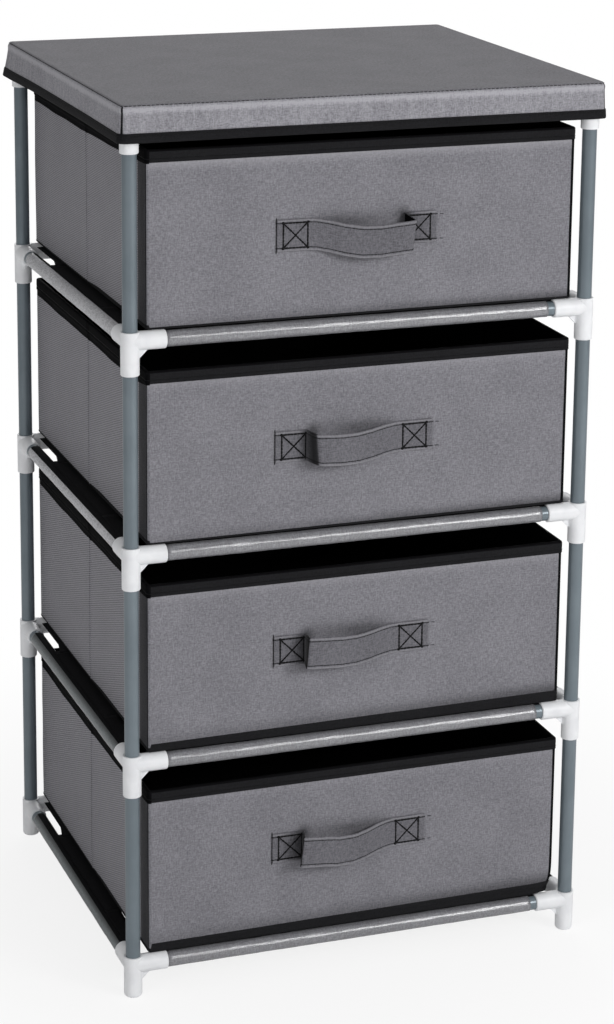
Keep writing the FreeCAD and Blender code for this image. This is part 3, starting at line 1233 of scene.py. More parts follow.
    def sheet(self) -> bpy.types.Object:
        """Make the black sheet with its corners cut away, and measure it.

        Returns:
            The sheet.
        """
        skin = Skin()
        (x0, x1), (y0, y1) = self.x, self.y
        (xs, across), (ys, depth) = self.lines(0), self.lines(1)
        for rows, columns in ((depth[0], across[1]), (depth[1], slice(None)), (depth[2], across[1])):
            x, y = np.meshgrid(xs[columns], ys[rows])
            u, v = (x - x0) / (x1 - x0), (y - y0) / (y1 - y0)
            places = np.column_stack([x.ravel(), y.ravel(), np.zeros(x.size)])
            ripple = wave(places, 14.0, self.number).reshape(x.shape) * 0.35 * MM
            edge = np.minimum(1.0, 4 * np.minimum(np.minimum(u, 1 - u), np.minimum(v, 1 - v)))
            dip = self.sag * np.sin(np.pi * u) * np.sin(np.pi * v)
            z = self.top - self.sheet_drop - dip + (ripple - 0.3 * MM) * edge
            skin.patch(np.dstack([x, y, z]), np.dstack([x, y]))
        for left in (True, False):
            self.web_patch(skin, True, left)
            self.web_patch(skin, False, left)
            self.tongue(skin, left)
        sheet = skin.build(f"shelf_{self.number}_sheet", [self.finishes.sheet], closed=False)
        self.area = sum(face.area for face in sheet.data.polygons)
        thicken(sheet, self.sheet_thick)
        return sheet

    def web_patch(self, skin: Skin, front: bool, left: bool) -> None:
        """Add what the corner cut leaves beside a side rail: a web in front, a strip past a slit behind.

        Args:
            skin: The sheet's skin.
            front: Whether the corner is at the front.
            left: Whether it is at the left.
        """
        share = np.linspace(0, 1, 12)[:, None]
        inner, outer = (0.0, self.web - self.web_taper * share) if front else self.slit(share)
        end = self.web_end if front else self.strip_end
        reach = (self.notch[1] + 6 * MM) * (1 - share) + end * share
        across = inner + np.linspace(0, 1, 5)[None, :] * (outer - inner)
        x = self.x[0] + across if left else self.x[1] - across
        y = np.broadcast_to(self.y[0] + reach if front else self.y[1] - reach, x.shape)
        grid = np.dstack([x, y, np.full_like(x, self.top - self.web_drop)])
        if left != front:
            grid = grid[::-1]
        skin.patch(grid, grid[:, :, :2])

    def slit(self, share: np.ndarray) -> tuple[np.ndarray, float]:
        """Say where the strip past the slit lies, from its start to the connector.

        Args:
            share: How far along it the place is.

        Returns:
            Its edge beside the slit and its far edge, from the rail's axis.
        """
        near, far = self.slit_edge
        return near + (far - near) * np.clip(share / self.slit_bend, 0, 1) ** 1.2, self.notch[0]

    def tongue(self, skin: Skin, left: bool) -> None:
        """Add the short tongue of the sheet that runs on along the front rail, under the drawer's foot: a
        dark piece put where there is shade, so that the gap there shows dark.

        Args:
            skin: The sheet's skin.
            left: Whether it is at the left.
        """
        reach = np.linspace(self.notch[0], self.tongue_end, 6)[None, :]
        across = np.linspace(0, 1, 4)[:, None] * (self.tongue_deep - 0.1 * (self.notch[0] - reach))
        x = np.broadcast_to(self.x[0] + reach if left else self.x[1] - reach, across.shape)
        grid = np.dstack([x, self.y[0] + across, np.full_like(x, self.top - self.sheet_drop)])
        if left:
            grid = grid[:, ::-1]
        skin.patch(grid, grid[:, :, :2])

    def build(self) -> list[Seam]:
        """Make the sheet and its casings, and put them on the frame.

        Returns:
            The casings' seams.
        """
        sheet = self.sheet()
        skin = Skin()
        seams = [self.casing(skin, side) for side in RAIL_RUNS]
        flanks = self.finishes.pale_casing if self.pale else self.finishes.dark_casing
        casings = skin.build(
            f"shelf_{self.number}_casings", [self.finishes.casing, flanks, self.finishes.sheet], closed=False
        )
        thicken(casings, self.casing_thick)
        for piece in (sheet, casings):
            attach(piece, "frame")
            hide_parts(f"shelf_{self.number}")
        LOG.info("shelf %d: sheet and four casings", self.number)
        return seams


def thicken(thing: bpy.types.Object, thickness: float) -> None:
    """Give a single skin of cloth its thickness, inwards, and keep it.

    Args:
        thing: The skin.
        thickness: Its thickness.
    """
    solid = thing.modifiers.new("Thickness", "SOLIDIFY")
    solid.thickness = thickness
    solid.offset = -1.0
    mesh = settled(thing, thing.name)
    single = thing.data
    thing.modifiers.clear()
    thing.data = mesh
    bpy.data.meshes.remove(single)


# ---------------------------------------------------------------- strap handles

class Lean(Enum):
    """Which way a strap's slack has fallen."""

    LEFT = 1
    RIGHT = -1


@dataclass(frozen=True)
class Slack:
    """How one strap's slack lies.

    The fold stands over its own pad by `over`, and the strap drops by `drop` at the fold and by a
    further `sag` in the middle. `twist` is how far the fold leans for each unit of height.
    """

    lean: Lean
    over: float
    drop: float
    sag: float
    twist: float


@dataclass
class StrapHandle:
    """A strap sewn flat at both ends, with its slack fallen to one side in a sharp fold."""

    number: int
    slack: Slack
    finishes: Finishes
    lift: Callable[[np.ndarray, np.ndarray], np.ndarray]
    pad: float = 29 * MM
    thick: float = 1.5 * MM
    raised: float = 0.1 * MM
    box: float = 22 * MM
    box_in: float = 5.6 * MM
    seam_in: float = 2.9 * MM
    reach: float = 18.2 * MM
    loose: float = 1.2 * MM
    tails: tuple[float, float] = (-2.0 * MM, 5.5 * MM)
    count: int = 300

    def __post_init__(self) -> None:
        """Read where the strap is sewn on, and space its rows."""
        self.low, self.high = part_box(f"drawer_{self.number}_handle")
        self.face = self.high.y
        self.middle = (self.low.z + self.high.z) / 2
        self.width = self.high.z - self.low.z
        from_edge = (0, 0.15, 0.45, 0.9, 1.4, 1.9, 2.3, 2.6, 2.9, 3.2, 3.5, 4.0, 5.2, 7.2, 9.4, 11.6)
        near = np.array(from_edge) * MM
        half = self.width / 2
        self.across = np.concatenate([near - half, [0.0], (half - near)[::-1]])

    def plan(self) -> np.ndarray:
        """Bend the strap's middle line: flat on its pad, round the fold, and back down to the other pad.

        Returns:
            The line's points: x, how far it stands off the cloth, and how far it drops.
        """
        slack = self.slack
        a, b = self.low.x, self.high.x
        gap = b - a - 2 * self.pad
        flat = self.thick / 2 + self.raised
        over, reach = slack.over, self.reach
        line = [(-self.pad, flat), (-self.pad / 2, flat), (0.0, flat)]
        rise = ((0.12, 0.2), (0.5, 0.55), (0.95, 0.88))
        fall = ((0.18, 0.99), (0.32, 0.92), (0.5, 0.72), (0.66, 0.46), (0.8, 0.2), (0.92, 0.04), (1.0, 0.0))
        line += [(-over * s, flat + (reach - flat) * r) for s, r in rise]
        line += [(-over + 0.6 * MM, reach * 0.97), (-over + 3.0 * MM, reach)]
        line += [(gap * t, flat + (reach - flat) * r) for t, r in fall]
        line += [(gap + self.pad / 2, flat), (gap + self.pad, flat)]
        places = np.array(line)
        t = np.clip(places[:, 0] / gap, 0, 1)
        off = (places[:, 1] - flat) / (reach - flat)
        drop = slack.drop * off + slack.sag * np.sin(np.pi * t) ** 2
        origin = a + self.pad if slack.lean is Lean.LEFT else b - self.pad
        x = origin + places[:, 0] * slack.lean.value
        line = np.column_stack([x, places[:, 1], drop])
        return smooth_line(line if slack.lean is Lean.LEFT else line[::-1], 1.5 * MM, self.count)

    def boxes(self) -> list[tuple[float, float]]:
        """Give the left and right side of each stitched box.

        Returns:
            Their x, for the left box and the right one.
        """
        left = self.low.x + self.box_in
        right = self.high.x - self.box_in
        return [(left, left + self.box), (right - self.box, right)]

    def sewn(self) -> list[tuple[np.ndarray, np.ndarray]]:
        """Give the stitch lines that hold the pads down.

        Returns:
            Each line's two ends, in x and height from the strap's middle.
        """
        half = self.width / 2 - self.seam_in
        lines = []
        for left, right in self.boxes():
            corners = [np.array(c) for c in ((left, -half), (right, -half), (right, half), (left, half))]
            lines += [(corners[i], corners[(i + 1) % 4]) for i in range(4)]
            lines += [(corners[0], corners[2]), (corners[1], corners[3])]
        return lines

    def surface(self) -> tuple[np.ndarray, np.ndarray, np.ndarray, np.ndarray]:
        """Lay the strap's outer face.

        Returns:
            The face's points, the way it faces, the length along the strap and how far it stands off.
        """
        line = self.plan()
        length = run_length(line[:, :2])
        run = np.gradient(line[:, :2], axis=0)
        run /= np.linalg.norm(run, axis=1)[:, None]
        normal = np.column_stack([-run[:, 1], run[:, 0]])
        v = self.across[None, :]
        edge = self.width / 2 - abs(v)
        roll = 0.3 * MM * hill(edge, 1.1 * MM, 0.9 * MM) - 0.35 * MM * hill(edge, self.seam_in, 0.45 * MM)
        roll = roll - 0.25 * MM * hill(edge, 0.0, 0.3 * MM)
        stand = share_of(line[:, 1], self.loose, self.reach)[:, None]
        places = np.column_stack([line[:, :2], np.zeros(len(line))])
        soft = wave(places, 45.0, self.number)[:, None]
        depth = self.thick / 2 + roll + 0.5 * MM * soft * stand
        x = line[:, 0:1] + normal[:, 0:1] * depth + v * self.slack.twist * stand
        off = line[:, 1:2] + normal[:, 1:2] * depth - v * 0.07 * stand
        z = self.middle + v - line[:, 2:3]
        points = np.dstack([x, self.face - off - self.lift(x, z), z])
        facing = np.zeros_like(points)
        facing[:, :, 0] = normal[:, 0:1]
        facing[:, :, 1] = -normal[:, 1:2]
        return points, facing, length, line[:, 1]

    def folded(self, x: np.ndarray, facing: np.ndarray, off: np.ndarray) -> np.ndarray:
        """Say how much painted shade darkens the strap where it turns into the fold.

        Args:
            x: The x of each place along it.
            facing: The way its outer face faces there.
            off: How far it stands off the cloth there.

        Returns:
            The painted shade at each place, from 0 to 1.
        """
        steep = np.clip((0.6 + facing[:, 0, 1]) / 0.25, 0, 1)
        rise = np.clip((off - 1.0 * MM) / (0.6 * self.reach), 0, 1)
        root = self.low.x + self.pad if self.slack.lean is Lean.LEFT else self.high.x - self.pad
        before = (root - x) * self.slack.lean.value
        width = 4.5 * MM + 1.2 * max(self.slack.over, 0.0)
        near = hill(np.maximum(before, 0.0), 0.0, width) * (off < 1.6 * MM)
        return np.maximum(steep * (0.55 + 0.45 * rise), 0.62 * near * (before > -2 * MM))

    def build(self) -> list[Seam]:
        """Make the strap and put it on its drawer.

        Returns:
            The strap's seams.
        """
        points, facing, length, off = self.surface()
        flat = off[:, None] < self.loose
        for one, two in self.sewn():
            spot = np.dstack([points[:, :, 0], points[:, :, 2] - self.middle])
            run = two - one
            share = np.clip(((spot - one) @ run) / (run @ run), 0, 1)
            away = np.linalg.norm(spot - (one + share[..., None] * run), axis=-1)
            points[:, :, 1] += 0.3 * MM * hill(away, 0.0, 1.0 * MM) * flat
        inner = points - facing * (self.thick - 0.1 * MM)
        cloth = np.dstack(np.broadcast_arrays(length[:, None], self.across[None, :]))
        skin = Skin()
        # Painted light on the strap: painted shade where it turns into the fold, and a painted highlight
        # along both edges that gives way to the shade.
        dark = self.folded(points[:, len(self.across) // 2, 0], facing, off)
        edge = self.width / 2 - abs(self.across)
        pale = 0.36 * hill(edge, 0.9 * MM, 0.8 * MM)[None, :] * (1 - np.minimum(1, 2 * dark))[:, None]
        skin.patch(points, cloth, 0, dark[:, None] - pale)
        skin.patch(inner[::-1], cloth[::-1], 1)
        for j, side in ((0, -1.0), (-1, 1.0)):
            edge = (points[:, j] + inner[:, j]) / 2 + np.array([0, 0, 0.4 * MM * side])
            rim = np.stack([points[:, j], edge, inner[:, j]], axis=1)
            # The strap's side edges take the same painted shade.
            skin.patch(rim, np.stack([cloth[:, j]] * 3, axis=1), 0, dark[:, None])
        for i in (0, -1):
            skin.patch(np.stack([points[i], inner[i]], axis=0), np.stack([cloth[i]] * 2, axis=0))
        strap = skin.build(f"drawer_{self.number}_strap", [self.finishes.strap, self.finishes.lining])
        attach(strap, f"drawer_{self.number}")
        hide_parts(f"drawer_{self.number}_handle")
        LOG.info("drawer %d: strap handle, its slack to the %s", self.number, self.slack.lean.name.lower())
        return self.seams(points, facing)

    def seams(self, points: np.ndarray, facing: np.ndarray) -> list[Seam]:
        """Give the strap's stitches: along both edges, across both ends, and a boxed cross on each pad.

        Args:
            points: The strap's outer face.
            facing: The way it faces.

        Returns:
            The seams.
        """
        seams = []
        for target in (self.seam_in - self.width / 2, self.width / 2 - self.seam_in):
            j = int(np.argmin(abs(self.across - target)))
            seams.append(Seam(points[1:-1, j], facing[1:-1, j], 0.95))
            for end, tail in zip((0, -1), self.tails):
                seams.append(self.tail(points[end, j], facing[end, j], tail))
        ends = np.array([-0.5, 0.5]) * (self.width + 0.5 * MM)
        beside = self.low.x - 0.3 * MM
        lines = [*self.sewn(), (np.array([beside, ends[0]]), np.array([beside, ends[1]]))]
        share = np.linspace(0, 1, 9)[:, None]
        for index, (one, two) in enumerate(lines):
            line = one + (two - one) * share
            z = line[:, 1] + self.middle
            last = index == len(lines) - 1
            raised = 0.2 * MM if last else self.thick + self.raised - 0.1 * MM
            y = self.face - raised - self.lift(line[:, 0], z)
            points = np.column_stack([line[:, 0], y, z])
            seams.append(Seam(points, np.tile([0.0, -1.0, 0.0], (9, 1)), 0.85 if last else 1.6))
        return seams

    def tail(self, start: np.ndarray, facing: np.ndarray, length: float) -> Seam:
        """Run a thread's cut end off a pad and down on to the front.

        Args:
            start: Where the seam ends on the pad.
            facing: The way the pad faces there.
            length: How far the end runs, to the left where it is below 0.

        Returns:
            The thread's end.
        """
        share = np.linspace(0, 1, 6)
        x = start[0] + length * share
        y = start[1] + (self.thick - 0.3 * MM) * np.minimum(1.0, share * 3)
        line = np.column_stack([x, y, start[2] - 0.4 * MM * share])
        return Seam(line, np.tile(facing, (6, 1)), 0.75)


# ---------------------------------------------------------------- drawers

class DrawerFace(IntEnum):
    """The materials of a drawer's box, by number."""

    FRONT = 0
    SIDE = 1
    BINDING = 2
    LINING = 3
    STRIP = 4


@dataclass(frozen=True)
class DrawerCut:
    """How one drawer differs from the others.

    Its strap has its own slack, the black band at its foot rises from left to right, its front curls
    under at the foot, its lower right corner may be tucked in, a painted highlight of its own strength
    lies under its hem, and the black of its hem deepens over the first part of its sides.
    """

    slack: Slack
    sill: tuple[float, float]
    curl: tuple[float, float] = (0.0, 0.0)
    tucked: float = 0.0
    painted_highlight_under_hem: float = 0.3
    deepens: float = 0.55


@dataclass
class Drawer:
    """A sewn box of stiffened cloth: grey outside, black lining, bound rim, dark corners and foot."""

    number: int
    cut: DrawerCut
    finishes: Finishes
    wall: float = 2.4 * MM
    floor: float = 2.0 * MM
    hem: float = 10.9 * MM
    hem_proud: float = 0.6 * MM
    corner: float = 3 * MM
    strip: float = 24 * MM
    # The stretch about the side's middle where its crease is painted black: painted shade.
    crease: tuple[float, float] = (-1.0 * MM, 2.0 * MM)

    def __post_init__(self) -> None:
        """Read the box's size and cut its outline."""
        self.low, self.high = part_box(f"drawer_{self.number}_box")
        self.base = self.low.z
        self.height = self.high.z - self.low.z
        self.mid_y = (self.low.y + self.high.y) / 2
        proud = self.hem_proud
        low = (self.low.x + proud, self.low.y + proud)
        high = (self.high.x - proud, self.high.y - proud)
        run = high[1] - low[1] - 2 * self.corner
        near = np.array([-8, -5, -3.6, -2.6, -1.8, -1, 0, 1, 2, 3, 5, 8]) * MM / run
        strip_end = [(self.strip - self.corner) / run]
        side = np.unique(np.concatenate([np.linspace(0, 1, 60), 0.5 + near, strip_end]))
        front = np.unique(np.concatenate([np.linspace(0, 1, 112), [0.0015, 0.004, 0.996, 0.9982]]))
        self.outline = Outline(low, high, self.corner, front, side)

    def stand(self, x: np.ndarray, y: np.ndarray, z: np.ndarray, flank: np.ndarray) -> np.ndarray:
        """Say how far the cloth stands out of true.

        Args:
            x: The places' x.
            y: Their y.
            z: Their height.
            flank: Where the place is on a side rather than on the front or back.

        Returns:
            The distance outwards at each place.
        """
        share = np.clip((z - self.base) / self.height, 0, 1)
        crown = np.sin(np.pi * share)
        across = share_of(x, self.low.x, self.high.x)
        along = share_of(y, self.low.y, self.high.y)
        places = np.column_stack([x, y, z])
        soft = wave(places, 11.0, self.number) * 0.5 * MM + wave(places, 32.0, self.number + 9) * 0.2 * MM
        swell = np.where(flank, 0.9 * MM * np.sin(TURN * along) ** 2, 0.8 * MM * np.sin(np.pi * across))
        out = (soft + swell * crown) * np.minimum(1.0, crown * 2.5)
        left, right = self.cut.curl
        under = (left + (right - left) * across) * np.clip(1 - (z - self.base) / (15 * MM), 0, 1) ** 2
        puff = 0.35 * MM * hill(z, self.base + self.height - self.hem - 3.5 * MM, 3 * MM)
        return out + np.where(flank | (y > self.mid_y), 0.0, puff - under)

    def bulge(self, height: np.ndarray | float) -> np.ndarray:
        """Say how far the wall stands out of true all round a ring.

        Args:
            height: The ring's height, or the height of each of its places.

        Returns:
            The distance outwards at each place.
        """
        outline = self.outline
        z = np.broadcast_to(height, outline.count)
        flank = outline.side % 2 == 1
        out = self.stand(outline.x, outline.y, z, flank)
        past = outline.y - self.mid_y
        fold = 0.8 * MM * hill(past, -2.8 * MM, 1.5 * MM) - 1.1 * MM * hill(past, 0.5 * MM, 1.3 * MM)
        pucker = 0.14 * MM * np.sin(outline.length[:-1] * TURN / (7.2 * MM))
        rim = hill(z, self.base + self.height - self.hem - 2 * MM, 4 * MM)
        out = out + np.where(flank, fold, 0.0) + pucker * rim
        return np.where(outline.turn > 0, 0.0, out)

    def lift(self, x: np.ndarray, z: np.ndarray) -> np.ndarray:
        """Say how far the front stands out at x and z, for what is sewn to it."""
        flat = np.full(x.size, self.low.y)
        return self.stand(x.ravel(), flat, z.ravel(), np.zeros(x.size, bool)).reshape(x.shape)

    def sill(self) -> np.ndarray:
        """Say how high the black band at the foot is.

        Returns:
            Its height at each place of the ring.
        """
        outline = self.outline
        across = share_of(outline.x, self.low.x, self.high.x)
        along = share_of(outline.y, self.low.y, self.high.y)
        left, right = self.cut.sill
        front = left + (right - left) * across
        flank = (2.2 + 2.0 * np.clip((0.5 - along) / 0.1, 0, 1)) * MM
        sill = np.where(outline.side == Side.FRONT, front, flank)
        return np.where(outline.side == Side.BACK, 2.5 * MM, sill)

    def side_hem(self) -> np.ndarray:
        """Say how far the black under the hem reaches down on the sides, deeper towards the back.

        Returns:
            The depth at each place of the ring.
        """
        outline = self.outline
        along = share_of(outline.y, self.low.y, self.high.y)
        waver = 0.3 * MM * np.sin(outline.y * TURN / (95 * MM))
        return 0.9 * MM + (4.6 * MM + waver) * np.clip(along / self.cut.deepens, 0, 1) ** 0.8

    def wall_slots(self) -> np.ndarray:
        """Say which cloth each upright strip of the outside is.

        Returns:
            The material number from each place of the ring to the next.
        """
        outline = self.outline
        side, turn = outline.side, outline.turn
        y, next_y = outline.y, np.roll(outline.y, -1)
        flank = side % 2 == 1
        slots = np.where(side == Side.FRONT, DrawerFace.FRONT, DrawerFace.SIDE)
        strip_end = self.low.y + self.hem_proud + self.strip + 0.1 * MM
        strip = flank & (np.maximum(y, next_y) < strip_end)
        slots = np.where(strip, DrawerFace.STRIP, slots)
        at_left, at_right = side == Side.LEFT, side == Side.FRONT
        # The black lines round the front's corners and down the side's crease are painted shade in the
        # corner's groove and in the crease.
        slots = np.where(at_left & (turn > 0.1) & (turn < 0.3), DrawerFace.LINING, slots)
        slots = np.where(at_left & (turn > 0.3), DrawerFace.FRONT, slots)
        slots = np.where(at_right & (turn > 0.1) & (turn < 0.5), DrawerFace.LINING, slots)
        slots = np.where(at_right & (turn > 0.5), DrawerFace.STRIP, slots)
        slots = np.where(at_right & (turn < 0.5) & (outline.share > 0.998), DrawerFace.LINING, slots)
        past = (y + next_y) / 2 - self.mid_y
        crease = flank & (turn == 0) & (past > self.crease[0]) & (past < self.crease[1])
        return np.where(crease, DrawerFace.LINING, slots)

    def shade(self, points: np.ndarray) -> np.ndarray:
        """Say how much painted shade darkens the front's cloth: by the strap's crease, behind its loop and at
        the foot.

        Args:
            points: Places on the box.

        Returns:
            The painted shade, from 0 to 1, which is below 0 along a painted highlight under the hem.
        """
        low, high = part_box(f"drawer_{self.number}_handle")
        half, middle = (high.z - low.z) / 2, (high.z + low.z) / 2
        slack = self.cut.slack
        pad = StrapHandle.pad
        root, far = (low.x + pad, high.x - pad) if slack.lean is Lean.LEFT else (high.x - pad, low.x + pad)
        x, y, z = points.T
        share = share_of(x, root, far)
        drop = slack.drop * (1 - share) + slack.sag * np.sin(np.pi * share) ** 2
        up = z - middle + drop * (share > 0) * (share < 1)
        out = np.maximum(abs(z - middle) - half, 0)
        fold = root + slack.lean.value * (3.0 * MM - slack.over / 2)
        # Painted shade: by the strap's crease, above and below its loop, and at the foot.
        crease = 0.62 * hill(x, fold, 5.5 * MM) * hill(out, 0, 4.5 * MM)
        inside = np.sin(np.pi * np.clip(share * 1.04 - 0.02, 0, 1)) ** 0.7
        above = 0.46 * hill(up, half + 1.0 * MM, 6.5 * MM) * inside * hill(share, 0.66, 0.42)
        below = 0.3 * hill(up, -half - 1.0 * MM, 4.5 * MM) * inside * hill(share, 0.2, 0.36)
        across = share_of(x, self.low.x, self.high.x)
        left, right = self.cut.sill
        rise = np.maximum(z - self.base - left - (right - left) * across, 0.0)
        foot = (0.2 + 0.45 * across) * hill(rise, 0.0, 4.5 * MM + 0.35 * right)
        # A painted highlight under the hem.
        painted_highlight_under_hem = self.cut.painted_highlight_under_hem * hill(z, self.base + self.height - self.hem - 2.0 * MM, 2.6 * MM)
        dark = np.maximum(np.maximum(crease, above + below), foot) - painted_highlight_under_hem
        return np.where(y < self.low.y + 4 * MM, dark, 0.0)

    def shell(self) -> bpy.types.Object:
        """Make the box, from its underside up the outside, over the rim and down inside.

        Returns:
            The box.
        """
        binding, lining = DrawerFace.BINDING, DrawerFace.LINING
        base, rim = self.base, self.base + self.height - self.hem
        box = SewnShell(self.outline)
        sill = self.sill()
        inset = -self.corner - 1 * MM
        rows = [
            Row(inset, base, lining),
            Row(-2.5 * MM, base, lining),
            Row(-1.0 * MM, base + 0.15 * MM, lining),
            Row(-0.3 * MM, base + 0.6 * MM, binding),
        ]
        for share, proud in ((0.25, 0.3), (0.5, 0.05), (0.75, 0.3), (0.97, 0.25), (1.0, 0.0)):
            z = base + 0.6 * MM + np.maximum(sill - 0.6 * MM, 0.2 * MM) * share
            rows.append(Row(proud * MM, z, binding, self.bulge(z)))
        grey = self.wall_slots()
        flank = self.outline.side % 2 == 1
        start = base + np.maximum(sill, 0.8 * MM) + 0.2 * MM
        deep = self.side_hem()
        for share in np.linspace(0, 1, 40):
            z = start + (rim - deep - start) * share
            rows.append(Row(0.0, z, grey if share else lining, self.bulge(z)))
        for share in (0.35, 0.7, 1.0):
            z = rim - deep * (1 - share)
            rows.append(Row(0.0, z, np.where(flank, lining, grey), self.bulge(z)))
        hem = np.where(flank, lining, binding)
        # The hem's section: out from the wall and up from the hem's foot, in mm, and the cloth up to there.
        for out, rise, slot in (
            (0.45, 0.05, lining), (0.6, 0.5, lining), (0.6, 1.1, hem), (0.55, 2.2, hem), (0.25, 2.8, hem),
            (0.2, 3.3, lining), (0.5, 3.8, hem), (0.6, 5.6, hem), (0.58, 8.0, hem), (0.5, 9.3, hem),
            (0.2, 10.3, lining), (-0.5, 10.8, lining),
            (-1.3, 10.9, lining), (-2.5, 10.8, lining), (-3.0, 10.2, lining), (-3.05, 5.0, lining),
            (-3.0, 0.6, lining), (-2.6, 0.1, lining),
        ):
            rows.append(Row(out * MM, rim + rise * MM, slot, self.bulge(rim + rise * MM) * 0.6))
        for share in np.linspace(0, 1, 9)[1:]:
            z = rim + (base + self.floor + 0.2 * MM - rim) * share
            rows.append(Row(-self.wall, z, lining, self.bulge(z) * (1 - share)))
        rows.append(Row(inset, base + self.floor, lining))
        box.wall(rows)
        box.sheet(inset, lambda x, y: np.full_like(x, base), lining, up=False)
        box.sheet(inset, lambda x, y: np.full_like(x, base + self.floor), lining, up=True)
        for points in box.skin.points:
            x, y, z = points.T
            near = hill(x, self.high.x, 13 * MM) * hill(z, base, 13 * MM) * hill(y, self.low.y, 45 * MM)
            points[:, 0] -= self.cut.tucked * near
            points[:, 2] += 0.35 * self.cut.tucked * near
        # The front's cloth takes painted shade by the strap and at the foot, and a painted highlight under
        # the hem.
        box.skin.painted_shading = [self.shade(points) for points in box.skin.points]
        use = self.finishes
        cloths = [use.front, use.side, use.binding, use.lining, use.strip]
        return box.skin.build(f"drawer_{self.number}_shell", cloths)

    def hem_seam(self) -> Seam:
        """Lay the line of stitches along the lower edge of the rim's binding.

        Returns:
            The seam, all round.
        """
        outline = self.outline
        z = self.base + self.height - self.hem + 3.1 * MM
        ring = outline.ring(0.35 * MM) + outline.normals * (self.bulge(z) * 0.6)[:, None]
        return Seam(outline.level(ring, z), outline.level(outline.normals, 0.0), 0.8).closed()

    def build(self) -> None:
        """Make the box, its strap and its stitches, and put them on the drawer."""
        body = f"drawer_{self.number}"
        shell = self.shell()
        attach(shell, body)
        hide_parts(f"drawer_{self.number}_box")
        strap = StrapHandle(self.number, self.cut.slack, self.finishes, self.lift)
        seams = [*strap.build(), self.hem_seam()]
        stitches = StitchRow().sew(f"drawer_{self.number}_stitches", seams, self.finishes.thread)
        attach(stitches, body)
        LOG.info("drawer %d: box, and stitches of %d faces", self.number, len(stitches.data.polygons))


# ---------------------------------------------------------------- lid

class LidFace(IntEnum):
    """The materials of the lid's cover, by number."""

    TOP = 0
    SKIRT = 1
    SEAM = 2
    LINING = 3


